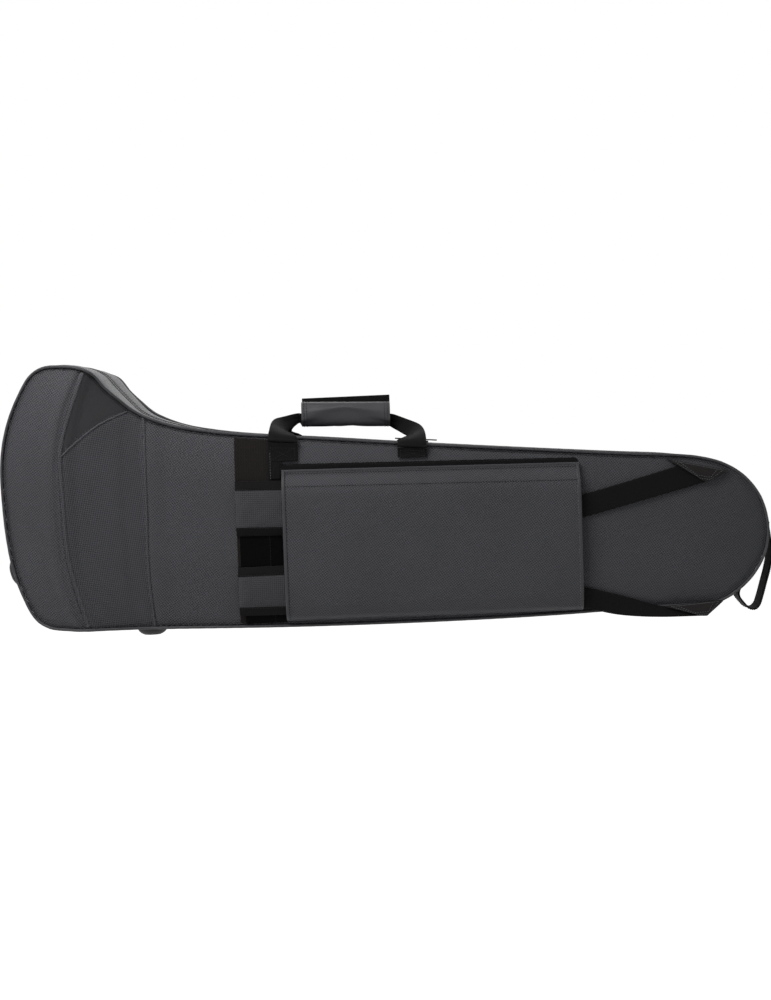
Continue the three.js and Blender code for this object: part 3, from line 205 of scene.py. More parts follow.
def smooth_run(points, per, closed=False):
    """A smooth line through the points, with this many steps between each two."""
    p = np.asarray(points, float)
    if closed:
        p = np.concatenate([p[-1:], p, p[:2]])
    else:
        p = np.concatenate([2 * p[:1] - p[1:2], p, 2 * p[-1:] - p[-2:-1]])
    out = []
    s = np.arange(per) / per
    for k in range(1, len(p) - 2):
        p0, p1, p2, p3 = p[k - 1], p[k], p[k + 1], p[k + 2]
        d0, d1, d2 = (max(np.linalg.norm(v), 1e-6) ** 0.5 for v in (p1 - p0, p2 - p1, p3 - p2))
        t1 = ((p1 - p0) / d0 - (p2 - p0) / (d0 + d1) + (p2 - p1) / d1) * d1
        t2 = ((p2 - p1) / d1 - (p3 - p1) / (d1 + d2) + (p3 - p2) / d2) * d1
        out.append(hermite(p1, p2, t1, t2, s))
    if not closed:
        out.append(p[-2:-1])
    return np.concatenate(out)


STEPS = 40


def flat_normals(line, step=1):
    """Outward directions of a closed line of flat points."""
    ahead = np.roll(line, -step, 0) - np.roll(line, step, 0)
    ahead /= np.linalg.norm(ahead, axis=1, keepdims=True)
    return np.stack([ahead[:, 1], -ahead[:, 0]], 1)


class Outline:
    """A closed line round the case, seen square to its faces."""

    def __init__(self, shares):
        self.shares = shares
        places = np.stack([share_x(shares[:, 0]), share_z(shares[:, 1])], 1)
        self.line = smooth_run(places, STEPS, closed=True)
        self.normal = flat_normals(self.line, 3)

    def along(self, first, last, key, values):
        """Points of one stretch of the line at these values of x (key 0) or z (key 1)."""
        line = np.concatenate([self.line, self.line[:1]])[first * STEPS:last * STEPS + 1]
        if line[0, key] > line[-1, key]:
            line = line[::-1]
        return np.stack([np.interp(values, line[:, key], line[:, k]) for k in (0, 1)], -1)

    def bottom(self, x):
        return self.along(BOTTOM_START, SLIDE_START, 0, x)

    def top(self, x):
        return self.along(TOP_START, BELL_START, 0, x)

    def slide_end(self, z):
        return self.along(SLIDE_START, TOP_START, 1, z)

    def bell_end(self, z):
        return self.along(BELL_START, len(self.shares), 1, z)

    def low(self, x):
        """Height of the lower edge at one x."""
        return float(self.bottom([x])[0, 1])

    def high(self, x):
        """Height of the upper edge at one x."""
        return float(self.top([x])[0, 1])

    def inward(self, points, inset):
        """Points of the line moved in square to it."""
        if not inset:
            return points
        points = np.atleast_2d(points)
        nearest = ((points[:, None] - self.line[None]) ** 2).sum(-1).argmin(1)
        return points - self.normal[nearest] * inset

    def column_ends(self, table):
        """The lower and upper ends of the columns, spread between this line's own corners."""
        ends = []
        for key, first, last, at in (
            (0, BOTTOM_START, SLIDE_START, self.bottom), (1, BELL_START, TOP_START, self.top),
        ):
            span = self.shares[first, 0], self.shares[last, 0]
            share = np.interp(table[:, key], (COLUMNS[0, key], COLUMNS[-1, key]), span)
            ends.append(at(share_x(share)))
        return ends


wall_line, face_line = Outline(WALL_OUTLINE), Outline(FACE_OUTLINE)


def column(u):
    """The columns' table at places between its rows."""
    u = np.asarray(u, float)
    last = len(COLUMNS) - 1
    k = np.clip(u.astype(int), 0, last - 1)
    t = (u - k)[..., None]
    p0, p1 = COLUMNS[np.maximum(k - 1, 0)], COLUMNS[k]
    p2, p3 = COLUMNS[k + 1], COLUMNS[np.minimum(k + 2, last)]
    mid = 0.5 * ((2 * p1) + (p2 - p0) * t + (2 * p0 - 5 * p1 + 4 * p2 - p3) * t**2
                 + (3 * p1 - p0 - 3 * p2 + p3) * t**3)
    return np.clip(mid, np.minimum(p1, p2), np.maximum(p1, p2))


def face_surface(us, vs, line, inset=0.0, sink=0.0):
    """Points of the strap side's face, of shape (columns, rows, 3), with y as a depth."""
    table = column(us)
    depth = table[:, 4:8] @ DEPTHS
    crown = table[:, 8:10] @ CROWNS
    low, high = (line.inward(ends, inset) for ends in line.column_ends(table))

    def bow(at, low_end, high_end):
        end = line.inward(at(low_end[1] + (high_end[1] - low_end[1]) * vs), inset)
        return end - (end[0] + (end[-1] - end[0]) * vs[:, None])

    corners = line.column_ends(COLUMNS[[0, -1]])
    bell_bow = bow(line.bell_end, corners[0][0], corners[1][0])
    slide_bow = bow(line.slide_end, corners[0][1], corners[1][1])
    flat = low[:, None] + (high - low)[:, None] * vs[None, :, None]
    flat = flat + bell_bow[None] * table[:, 2, None, None] + slide_bow[None] * table[:, 3, None, None]
    pillow = 1 - np.abs(2 * vs - 1) ** CROWN_POWER
    y = depth[:, None] + crown[:, None] * pillow[None] - sink
    return np.stack([flat[..., 0], y, flat[..., 1]], -1)


# Columns and rows of a face's grid. The rows lie closer together near its edges.
ACROSS, ROWS, CROWDED = 10, 72, 0.055
FACE_US = np.linspace(0, len(COLUMNS) - 1, (len(COLUMNS) - 1) * ACROSS + 1)
FACE_VS = np.linspace(0, 1, ROWS + 1)
FACE_VS -= CROWDED * np.sin(2 * math.pi * FACE_VS)


def ring_of(grid):
    """The boundary of a grid, once round: bottom, slide end, top, bell end."""
    return np.concatenate([grid[:-1, 0], grid[-1, :-1], grid[:0:-1, -1], grid[0, :0:-1]])


# Seams on the faces

# Places on the strap side's face, [x, z]
SEAM_BELL = [(-354.0, 321), (-358.0, 311), (-379.5, 247), (-384.6, 219), (-384.0, 168.4),
             (-380.2, 97.6), (-362.4, 16.1)]
SEAM_NECK = [(-291.2, 264), (-290.4, 250), (-290.0, 163.4), (-290.6, 79.9), (-286.6, 11.4)]
SEAM_DART = [(-383.5, 217.5), (-373, 228), (-344, 251.5), (-322, 263.0), (-309, 268.5)]
SEAM_STEP = 3.0
# Heights of the cloth's slow swells and of its puckers, how far these reach in from the piping,
# and how deep the cloth is drawn in beside it
SWELL, PUCKER, PUCKER_REACH, PIPING_SINK = 0.45, 0.28, 7.0, 0.7


def dense(points):
    return resample(smooth_run(points, 24), SEAM_STEP)


def running_length(line):
    """How far along a line each of its points lies."""
    return np.concatenate([[0], np.cumsum(np.linalg.norm(np.diff(line, axis=0), axis=1))])


def read_at(at, length, values):
    """The values that go with a line's points, read at these lengths along it."""
    return np.stack([np.interp(at, length, values[:, k]) for k in range(values.shape[1])], 1)


def resample(line, step, values=None):
    """Points spaced evenly along a line, or at those places the values that go with its points."""
    line = np.asarray(line, float)
    length = running_length(line)
    count = max(2, int(round(length[-1] / step)) + 1)
    return read_at(np.linspace(0, length[-1], count), length, line if values is None else values)


def gap_to(points, line):
    """How far flat points lie from a line."""
    flat = points.reshape(-1, 1, 2)
    return np.sqrt(((flat - line[None]) ** 2).sum(-1)).min(1).reshape(points.shape[:-1])


def near(points, line, reach):
    """How near flat points lie to a line: 1 on it, falling off over the reach."""
    return np.exp(-((gap_to(points, line) / reach) ** 2))


def cloth_relief(grid, side):
    """Small ups and downs of the cloth over its foam: seams sewn in, puckers beside the piping."""
    flat = grid[..., [0, 2]]
    x, z = flat[..., 0], flat[..., 1]
    relief = SWELL * np.sin(x / 41 + 1.3 * side) * np.sin(z / 29 + 0.7) * np.sin((x + z) / 67)
    for line, sink, reach in ((seam_bell, 0.9, 5.0), (seam_neck, 0.8, 5.0), (seam_dart, 0.8, 3.5)):
        relief -= sink * near(flat, line, reach)
    gap = gap_to(flat, ring_of(grid)[::2, [0, 2]])
    pucker = np.sin(x / 2.6 + 1.7 * np.sin(z / 9.0)) * np.sin(z / 3.1 + x / 31.0)
    relief += PUCKER * pucker * np.exp(-gap / PUCKER_REACH) * np.clip(gap / 4.0, 0, 1)
    relief -= PIPING_SINK * np.exp(-(((gap - 4.2) / 2.0) ** 2))
    return relief * np.clip(gap / 2.0, 0, 1)


plain_face = face_surface(FACE_US, FACE_VS, face_line)
wall_ring = ring_of(face_surface(FACE_US, FACE_VS, wall_line))


def grid_faces(columns, rows, wrap_columns=False, wrap_rows=False):
    a = np.arange(columns * rows).reshape(columns, rows)
    if wrap_columns:
        a = np.concatenate([a, a[:1]])
    if wrap_rows:
        a = np.concatenate([a, a[:, :1]], 1)
    return np.stack([a[:-1, :-1], a[1:, :-1], a[1:, 1:], a[:-1, 1:]], -1).reshape(-1, 4)


def make_tree():
    points = plain_face.copy()
    points[..., 1] *= -1
    return BVHTree.FromPolygons(
        [Vector(p) for p in points.reshape(-1, 3)],
        [tuple(int(k) for k in q) for q in grid_faces(*points.shape[:2])],
    )


face_tree = make_tree()
FAR = 400.0


def depth_at(x, z):
    """Depth of the strap side's face under a point, or that of its nearest edge."""
    hit = face_tree.ray_cast(Vector((x, -FAR, z)), Vector((0, 1, 0)))[0]
    if hit is None:
        hit = face_tree.find_nearest(Vector((x, -edge_depth(x), z)))[0]
    return -hit.y


bottom_places = share_x(column(FACE_US)[:, 0])
edge_depths = column(FACE_US)[:, 4:8] @ DEPTHS


def edge_depth(x):
    return float(np.interp(x, bottom_places, edge_depths))


# Mesh helpers

WELD = 0.02
STITCH_PITCH, STITCH_LENGTH, STITCH_RADIUS, STITCH_DIP = 3.2, 2.3, 0.36, 0.32
# A finer stitch, and how far a thread lies off the cloth it is sewn to
FINE_PITCH, FINE_LENGTH, FINE_RADIUS, FINE_DIP = 3.0, 2.2, 0.34, 0.3
THREAD_LIFT = 0.1


class Shape:
    """Collects patches of faces that become one piece."""

    def __init__(self):
        self.points, self.faces, self.maps, self.looks = [], [], [], []
        self.count = 0

    def add(self, points, faces, cloth=None, look=0):
        points = np.asarray(points, float).reshape(-1, 3)
        cloth = np.zeros((len(points), 2)) if cloth is None else np.asarray(cloth).reshape(-1, 2)
        self.points.append(points)
        for face in faces:
            self.faces.append(tuple(int(k) + self.count for k in face))
            self.maps.extend(cloth[k] for k in face)
            self.looks.append(look)
        self.count += len(points)
        return self

    def patch(self, grid, cloth=None, look=0, wrap_columns=False, wrap_rows=False):
        grid = np.asarray(grid, float)
        faces = grid_faces(*grid.shape[:2], wrap_columns, wrap_rows)
        return self.add(grid, faces, cloth_map(grid) if cloth is None else cloth, look)

    def cap(self, loop, look=0):
        loop = np.asarray(loop, float)
        return self.add(loop, [range(len(loop))], loop[:, [0, 2]], look)

    def tube(self, grid, cloth=None, closed=False, cap_look=0):
        """A grid whose rows close round it, with its ends capped unless it runs back to its start."""
        self.patch(grid, cloth, wrap_columns=closed, wrap_rows=True)
        for loop in () if closed else (grid[0], grid[-1]):
            self.cap(loop, cap_look)
        return self

    def tubes(self, grids):
        """Many small capped tubes: points as [tube, section, place round it]."""
        count, sections, around = grids.shape[:3]
        size = sections * around
        faces = list((grid_faces(sections, around, wrap_rows=True)
                      + np.arange(count)[:, None, None] * size).reshape(-1, 4))
        for first in range(0, count * size, size):
            faces += [range(first, first + around), range(first + size - around, first + size)]
        return self.add(grids, faces)


def cloth_map(grid):
    """Lengths along a grid's columns and rows, for laying the weave."""
    first = np.linalg.norm(np.diff(grid, axis=0), axis=-1).mean(1)
    second = np.linalg.norm(np.diff(grid, axis=1), axis=-1).mean(0)
    u = np.concatenate([[0], np.cumsum(first)])
    v = np.concatenate([[0], np.cumsum(second)])
    return np.stack(np.meshgrid(u, v, indexing="ij"), -1)


def make(name, shape, body, looks, slot, nodes=(), sharp=40.0, bevel=0.0):
    mesh = bpy.data.meshes.new(name)
    points = np.concatenate(shape.points) * MM
    mesh.from_pydata([tuple(p) for p in points], [], shape.faces)
    layer = mesh.uv_layers.new(name="cloth")
    layer.data.foreach_set("uv", (np.array(shape.maps, np.float32) * MM).ravel())
    mesh.polygons.foreach_set("material_index", np.array(shape.looks, np.int32))
    tool = bmesh.new()
    tool.from_mesh(mesh)
    bmesh.ops.remove_doubles(tool, verts=tool.verts, dist=WELD * MM)
    bmesh.ops.recalc_face_normals(tool, faces=tool.faces)
    tool.to_mesh(mesh)
    tool.free()
    mesh.shade_smooth()
    if sharp:
        mesh.set_sharp_from_angle(angle=math.radians(sharp))
    piece = put_in(name, mesh)
    for look in looks if isinstance(looks, (list, tuple)) else [looks]:
        mesh.materials.append(look)
    if bevel:
        soften(piece, bevel, sharp)
    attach(piece, body)
    if nodes:
        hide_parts(*nodes)
    return piece


def turned(points, side):
    """Points made for the strap side, put on the side asked for (-1 strap, +1 lid)."""
    points = np.array(points, float)
    points[..., 1] *= side
    return points


def frames_along(line, closed=False):
    line = np.asarray(line, float)
    if closed:
        ahead = np.roll(line, -1, 0) - np.roll(line, 1, 0)
    else:
        ahead = np.gradient(line, axis=0)
    return ahead / np.maximum(np.linalg.norm(ahead, axis=1, keepdims=True), 1e-9)


def soften(piece, width, angle):
    """Rounds the edges of a piece that are sharper than the angle."""
    edge = piece.modifiers.new("soft_edge", "BEVEL")
    edge.width = width * MM
    edge.segments = 2
    edge.limit_method = "ANGLE"
    edge.angle_limit = math.radians(angle)


def sew(name, threads, body, slot, look=None):
    """Makes the piece that holds a part's stitches."""
    make(name, threads, body, look or THREAD, slot, sharp=0)


def rounded_band(half, thick, flats):
    """Section of webbing: [across, up] round its edge, for half its width and its thickness."""
    corner = thick / 2
    side = [(half - corner + corner * math.sin(a), corner * math.cos(a))
            for a in np.linspace(0, math.pi, 5)]
    flat = np.linspace(-(half - corner), half - corner, flats + 1)[1:-1]
    top = [(x, corner) for x in flat]
    return np.array(top + side + [(-x, -z) for x, z in top + side])


def skin(shape, grid, line, across, closed=False):
    """The skin of a band, with the weave laid along its line and across it."""
    along = np.repeat(running_length(line)[:, None], grid.shape[1], 1)
    cloth = np.stack([along, np.broadcast_to(across, along.shape)], -1)
    return shape.tube(grid, cloth, closed)


def swept(shape, line, across, section, closed=False, size=None):
    """Sweeps a section along a line. across is the direction of the section's first axis."""
    line = np.asarray(line, float)
    across = np.broadcast_to(np.asarray(across, float), line.shape)
    ahead = frames_along(line, closed)
    across = across - ahead * (across * ahead).sum(1, keepdims=True)
    across = across / np.linalg.norm(across, axis=1, keepdims=True)
    up = np.cross(ahead, across)
    a, b = section.T[:, None] * (np.ones(len(line)) if size is None else size)[:, None]
    grid = line[:, None] + across[:, None] * a[..., None] + up[:, None] * b[..., None]
    return skin(shape, grid, line, a, closed)


def ribbon(shape, centre, half, thick, section_half, heights=1.0):
    """Webbing along a line; half points from its middle to one edge, so an end may be slanted."""
    section = rounded_band(section_half, thick, 8)
    up = np.cross(frames_along(centre), half)
    up /= np.linalg.norm(up, axis=1, keepdims=True)
    rise = np.broadcast_to(section[None, :, 1] * heights, (len(centre), len(section)))
    grid = (centre[:, None] + half[:, None] * (section[:, 0] / section_half)[None, :, None]
            + up[:, None] * rise[..., None])
    return skin(shape, grid, centre, section[None, :, 0])


def round_section(radius, sides):
    turn = np.arange(sides) * 2 * math.pi / sides
    return np.stack([radius * np.cos(turn), radius * np.sin(turn)], 1)


def stitches(shape, line, out, length=FINE_LENGTH, radius=FINE_RADIUS, dip=FINE_DIP):
    """Single stitches at the points of a line, each a short thread that dips at its ends."""
    ahead = frames_along(line)
    out = np.broadcast_to(np.asarray(out, float), line.shape)
    side = np.cross(ahead, out)
    share = np.array([-0.5, -dip, 0.0, dip, 0.5]) * length
    fat = np.array([0.35, 0.9, 1.0, 0.9, 0.35]) * radius
    lift = np.array([-0.5, 0.25, 0.6, 0.25, -0.5]) * radius
    round_x, round_y = round_section(1.0, 5).T[:, None, :, None]
    ring = side[:, None] * round_x + out[:, None] * round_y
    centre = line[:, None] + ahead[:, None] * share[:, None] + out[:, None] * lift[:, None]
    return shape.tubes(centre[:, :, None] + ring[:, None] * fat[:, None, None])


def stitch_row(shape, line, pitch=STITCH_PITCH, length=STITCH_LENGTH, radius=STITCH_RADIUS,
               out=(0, -1, 0)):
    """A row of stitches spaced evenly along a line."""
    return stitches(shape, resample(line, pitch), out, length, radius, STITCH_DIP)


def on_cloth(line):
    """The stretch of a line that lies on the face."""
    hits = [face_tree.ray_cast(Vector((x, -FAR, z)), Vector((0, 1, 0)))[0] for x, z in line]
    return line[[hit is not None for hit in hits]]


seam_bell, seam_neck, seam_dart = (
    resample(on_cloth(dense(places)), SEAM_STEP) for places in (SEAM_BELL, SEAM_NECK, SEAM_DART)
)


def on_face(flat, lift, side=-1):
    """Flat points [x, z] laid on a face, this far off it."""
    flat = np.asarray(flat, float)
    lift = np.broadcast_to(lift, flat.shape[:-1]).reshape(-1)
    out = [(x, depth_at(x, z) + h, z) for (x, z), h in zip(flat.reshape(-1, 2), lift)]
    return turned(np.array(out).reshape(*flat.shape[:-1], 3), side)


def plate(shape, outer, inner):
    """Closes the space between two grids of the same size."""
    outer, inner = np.asarray(outer, float), np.asarray(inner, float)
    cloth = cloth_map(outer)
    shape.patch(outer, cloth)
    shape.patch(inner[:, ::-1], cloth[:, ::-1])
    return shape.patch(np.stack([ring_of(outer), ring_of(inner)], 1), wrap_columns=True)


def grid_of(place, us, vs):
    """What place(u, v) gives for every u and v."""
    return np.array([[place(u, v) for v in vs] for u in us], float)


def steps(count):
    """Shares from 0 to 1 in this many even steps."""
    return np.linspace(0, 1, count + 1)


def mixed(a, b, share):
    return tuple(p + (q - p) * share for p, q in zip(a, b))


def traced(place, corners, count):
    """Lines of places between each two corners that follow one another."""
    return [np.array([place(*mixed(a, b, t)) for t in steps(count - 1)])
            for a, b in zip(corners[:-1], corners[1:])]


# Materials


def node_group(name, inputs, outputs):
    """A new node group: ways to add to its nodes, what it is given and what it makes."""
    tree = bpy.data.node_groups.new(name, "ShaderNodeTree")
    for key, kind, value in inputs:
        socket = tree.interface.new_socket(key, in_out="INPUT", socket_type=f"NodeSocket{kind}")
        if value is not None:
            socket.default_value = value
    for key in outputs:
        tree.interface.new_socket(key, in_out="OUTPUT", socket_type="NodeSocketFloat")
    given = tree.nodes.new("NodeGroupInput").outputs
    return Nodes(tree), given, tree.nodes.new("NodeGroupOutput").inputs


class Nodes:
    """Short ways to add and join the nodes of one tree."""

    def __init__(self, tree):
        self.tree = tree

    def add(self, kind, values=None, **settings):
        node = self.tree.nodes.new(f"ShaderNode{kind}")
        for key, value in settings.items():
            setattr(node, key, value)
        self.fill(node.inputs, values or {})
        return node

    def fill(self, inputs, values):
        for key, value in values.items():
            if isinstance(value, bpy.types.NodeSocket):
                self.tree.links.new(value, inputs[key])
            else:
                inputs[key].default_value = value

    def math(self, operation, a, b=0.0, clamp=False):
        return self.add("Math", {0: a, 1: b}, operation=operation, use_clamp=clamp).outputs[0]

    def ramp(self, value, low, high, to_low=0.0, to_high=1.0):
        values = {"Value": value, "From Min": low, "From Max": high, "To Min": to_low, "To Max": to_high}
        return self.add("MapRange", values).outputs["Result"]

    def mix(self, share, a, b):
        return self.add("Mix", {0: share, 6: a, 7: b}, data_type="RGBA").outputs[2]

    def noise(self, vector, scale, detail=2.0, rough=0.5):
        values = {"Vector": vector, "Scale": scale, "Detail": detail, "Roughness": rough}
        return self.add("TexNoise", values).outputs["Fac"]

    def ridges(self, value):
        """Rises from 0 to 1 and falls back over each whole step of the value."""
        return self.math("ABSOLUTE", self.math("SINE", self.math("MULTIPLY", value, math.pi)))

    def blend(self, a, b, share):
        """The first value in this share, and the second in the rest."""
        return self.math("ADD", self.math("MULTIPLY", a, share), self.math("MULTIPLY", b, 1 - share))


def diamond_group():
    """Small raised lozenges of a coated diamond weave."""
    n, given, made = node_group(
        "diamond_weave",
        [("Cloth", "Vector", None), ("Pitch", "Float", 0.0032), ("Turn", "Float", 0.6)],
        ["Height", "Gap"],
    )
    turn = n.add("VectorRotate", {"Vector": given["Cloth"], "Angle": given["Turn"]},
                 rotation_type="Z_AXIS")
    parts = n.add("SeparateXYZ", {0: turn.outputs[0]})
    x, y = (n.math("DIVIDE", parts.outputs[key], given["Pitch"]) for key in "XY")
    waves = [n.ridges(n.math(way, x, y)) for way in ("ADD", "SUBTRACT")]
    height = n.math("POWER", n.math("MULTIPLY", *waves), 0.55)
    n.fill(made, {"Height": height, "Gap": n.ramp(height, 0.12, 0.5, 1.0, 0.0)})
    return n.tree


def rib_group():
    """Ribs across a webbing, with the small chevrons of its yarns."""
    n, given, made = node_group(
        "webbing_ribs",
        [("Cloth", "Vector", None), ("Rib", "Float", 0.0016), ("Yarn", "Float", 0.0011)],
        ["Height", "Gap"],
    )
    parts = n.add("SeparateXYZ", {0: given["Cloth"]})
    y = n.math("DIVIDE", parts.outputs["Y"], given["Yarn"])
    bend = n.math("PINGPONG", y, 1.0)
    x = n.math("DIVIDE", parts.outputs["X"], given["Rib"])
    x = n.math("ADD", x, n.math("MULTIPLY", bend, 0.5))
    height = n.blend(n.math("POWER", n.ridges(x), 0.6), n.math("POWER", n.ridges(y), 0.5), 0.7)
    n.fill(made, {"Height": height, "Gap": n.ramp(height, 0.2, 0.6, 1.0, 0.0)})
    return n.tree


def wear_group():
    """Dusty patches and lighter rubbed edges."""
    n, given, made = node_group(
        "cloth_wear", [("Spread", "Float", 9.0), ("Edge", "Float", 1.0)], ["Patch", "Rubbed"],
    )
    place = n.add("TexCoord").outputs["Object"]
    broad = n.noise(place, given["Spread"], 3.0, 0.55)
    fine = n.noise(place, 420.0, 2.0, 0.6)
    edge = n.ramp(n.add("NewGeometry").outputs["Pointiness"], 0.515, 0.56)
    rubbed = n.math("MULTIPLY", edge, n.math("MULTIPLY", fine, given["Edge"]), clamp=True)
    n.fill(made, {"Patch": n.blend(broad, fine, 0.7), "Rubbed": rubbed})
    return n.tree


DIAMOND, RIBS, WEAR = diamond_group(), rib_group(), wear_group()
# Where most values of a noise lie
MIDDLE = (0.3, 0.7)


def new_look(name):
    look = bpy.data.materials.new(name)
    look.use_nodes = True
    return look, Nodes(look.node_tree)


def tint(colour, by):
    """A colour made this many times as light, with its alpha."""
    return (*(min(1.0, c * by) for c in colour), 1)


def finish(n, wear, base, worn, rough, height, bump, inputs):
    """Gives the look's shader its colour with rubbed edges, its roughness and its relief."""
    relief = n.add("Bump", {"Strength": 1.0, "Distance": bump * MM, "Height": height})
    colour = n.mix(wear.outputs["Rubbed"], base, worn)
    values = {"Base Color": colour, "Roughness": rough, "Normal": relief.outputs[0], **inputs}
    n.fill(n.tree.nodes["Principled BSDF"].inputs, values)


def woven(weave, sizes, name, colour, gap, bump, rough, specular, patch=0.12):
    """Cloth of one weave: its colour, darker gaps, dusty patches, rubbed edges and bump."""
    look, n = new_look(name)
    cloth = n.add("UVMap", uv_map="cloth").outputs[0]
    threads = n.add("Group", {"Cloth": cloth, **sizes}, node_tree=weave)
    wear = n.add("Group", {"Spread": 9.0, "Edge": 0.6}, node_tree=WEAR)
    dusty = wear.outputs["Patch"]
    base = n.mix(n.ramp(dusty, *MIDDLE), tint(colour, 1 - patch * 1.6), tint(colour, 1 + patch * 2.2))
    base = n.mix(threads.outputs["Gap"], base, (*gap, 1))
    finish(n, wear, base, tint(colour, 2.2), n.ramp(dusty, *MIDDLE, *rough),
           threads.outputs["Height"], bump, {"Specular IOR Level": specular})
    return look


def diamonds(pitch, turn, *rest):
    return woven(DIAMOND, {"Pitch": pitch, "Turn": turn}, *rest)


def ribs(rib, yarn, *rest):
    return woven(RIBS, {"Rib": rib, "Yarn": yarn}, *rest)


def plain(name, colour, rough, grain, bump, specular=0.5, patch=0.15, sheen=0.0):
    """A moulded, painted or brushed finish with a fine grain."""
    look, n = new_look(name)
    height = n.noise(n.add("TexCoord").outputs["Object"], grain, 3.0, 0.6)
    wear = n.add("Group", {"Spread": 14.0, "Edge": 0.4}, node_tree=WEAR)
    base = n.mix(n.ramp(wear.outputs["Patch"], *MIDDLE), tint(colour, 1 - patch),
                 tint(colour, 1 + patch * 2))
    finish(n, wear, base, tint(colour, 2.5), n.ramp(height, *MIDDLE, rough - 0.06, rough + 0.06),
           height, bump, {"Sheen Weight": sheen, "Specular IOR Level": specular})
    return look


SHELL_GREY, SHELL_GAP = (0.068, 0.068, 0.076), (0.003, 0.003, 0.004)
SHELL_FINISH = (SHELL_GREY, SHELL_GAP, 0.32, (0.40, 0.50), 0.17, 0.07)
# Sizes of the weave, then name, colour, colour of the gaps, bump, roughness, specular, dustiness
FABRIC = diamonds(0.0035, 0.2, "coated_diamond_cloth", *SHELL_FINISH)
FABRIC_TURNED = diamonds(0.0035, 1.0, "coated_diamond_cloth_turned", *SHELL_FINISH)
DART_CLOTH = diamonds(0.0019, 0.2, "plain_dart_cloth", (0.040, 0.039, 0.042), (0.021, 0.020, 0.022),
                      0.12, (0.6, 0.7), 0.2, 0.06)
GRIP_CLOTH = diamonds(0.0017, 0.2, "grip_cloth", (0.040, 0.040, 0.044), (0.019, 0.019, 0.022),
                      0.08, (0.42, 0.52), 0.35, 0.06)
PIPING_LOOK = diamonds(0.0019, 0.8, "piping_cloth", (0.040, 0.040, 0.044), (0.012, 0.012, 0.013),
                       0.14, (0.42, 0.52), 0.3, 0.1)
BINDING = ribs(0.0013, 0.0013, "edge_binding", (0.020, 0.019, 0.020), (0.007, 0.007, 0.008),
               0.18, (0.6, 0.75), 0.2)
WEBBING = ribs(0.0019, 0.0021, "black_webbing", (0.0060, 0.0056, 0.0056), (0.002, 0.002, 0.002),
               0.35, (0.6, 0.75), 0.07)
# Darker than the black webbing above: painted shade of the recesses between and below the shoulder pads, on
# webbing that is black in itself
FOLD_WEBBING_SHADED = ribs(0.0019, 0.0021, "folded_black_webbing", (0.0026, 0.0025, 0.0025),
                    (0.001, 0.001, 0.001), 0.3, (0.65, 0.8), 0.03)
PANEL_WEBBING = ribs(0.0030, 0.0024, "panel_webbing_cloth", (0.0120, 0.0100, 0.0094),
                     (0.004, 0.0034, 0.0034), 0.4, (0.6, 0.75), 0.08)
TAB_WEBBING = ribs(0.0026, 0.0022, "tab_webbing_cloth", (0.016, 0.0145, 0.014),
                   (0.006, 0.0055, 0.0055), 0.4, (0.6, 0.75), 0.12)
PAD_MESH = diamonds(0.0034, 0.785, "pad_mesh", (0.056, 0.055, 0.060), (0.018, 0.018, 0.021),
                    0.5, (0.6, 0.75), 0.2)
# Name, colour, roughness, grain, bump, specular, patchiness
HOOK = plain("hook_pile", (0.006, 0.006, 0.0065), 0.9, 1500.0, 0.7, 0.12, 0.35)
THREAD = plain("sewing_thread", (0.007, 0.007, 0.0075), 0.6, 2500.0, 0.05, 0.2)
THREAD_LIGHT = plain("sewing_thread_grey", (0.085, 0.085, 0.090), 0.6, 2500.0, 0.05, 0.2)
ZIP_TAPE = ribs(0.0009, 0.0012, "zip_tape_weave", (0.042, 0.042, 0.046), (0.018, 0.018, 0.020),
                0.08, (0.45, 0.55), 0.3)
COIL = plain("zip_coil", (0.008, 0.008, 0.009), 0.4, 800.0, 0.02, 0.4)
RUBBER = plain("foot_rubber_black", (0.010, 0.010, 0.011), 0.62, 1100.0, 0.08, 0.3)
PLUSH = plain("plush_lining_pile", (0.030, 0.031, 0.036), 0.95, 650.0, 1.0, 0.15, 0.3, sheen=0.3)
BLACK_WEB = (WEBBING, "webbing")
METAL = plain("zip_metal_enamel", (0.012, 0.012, 0.013), 0.36, 500.0, 0.01, 0.4)
PLASTIC = plain("buckle_plastic_black", (0.010, 0.010, 0.011), 0.38, 1300.0, 0.03)

# The two halves

EDGE_ROLL = 5.5
EDGE_DROPS = (0.0, 1.0, 2.2, 4.0, 6.5, 10.0, 15.0, 22.0)
GUSSET_SHARES = (0.6, 0.45, 0.3, 0.12, 0.0)
GUSSET_BULGE = 1.3


def gusset_rows(edge):
    """Rows of the side wall, from the face's edge over its soft shoulder to the open rim."""
    depth, normals = edge[:, 1], ring_normals(edge)
    levels = [depth - drop for drop in EDGE_DROPS]
    levels += [RIM_GAP + (depth - RIM_GAP) * share for share in GUSSET_SHARES]
    grid = []
    for level in levels:
        line = edge.copy()
        line[:, 1] = level
        rolled = 1 - np.exp(-(depth - level) / EDGE_ROLL)
        share = (level - RIM_GAP) / (depth - RIM_GAP)
        free = np.clip((level - TAPE_WIDTH) / 18, 0, 1) * np.clip((depth - level) / 15, 0, 1)
        bulge = GUSSET_BULGE * np.sin(math.pi * share) * free
        line[:, [0, 2]] += (wall_ring - edge)[:, [0, 2]] * rolled[:, None] + normals * bulge[:, None]
        grid.append(line)
    return np.stack(grid, 1)


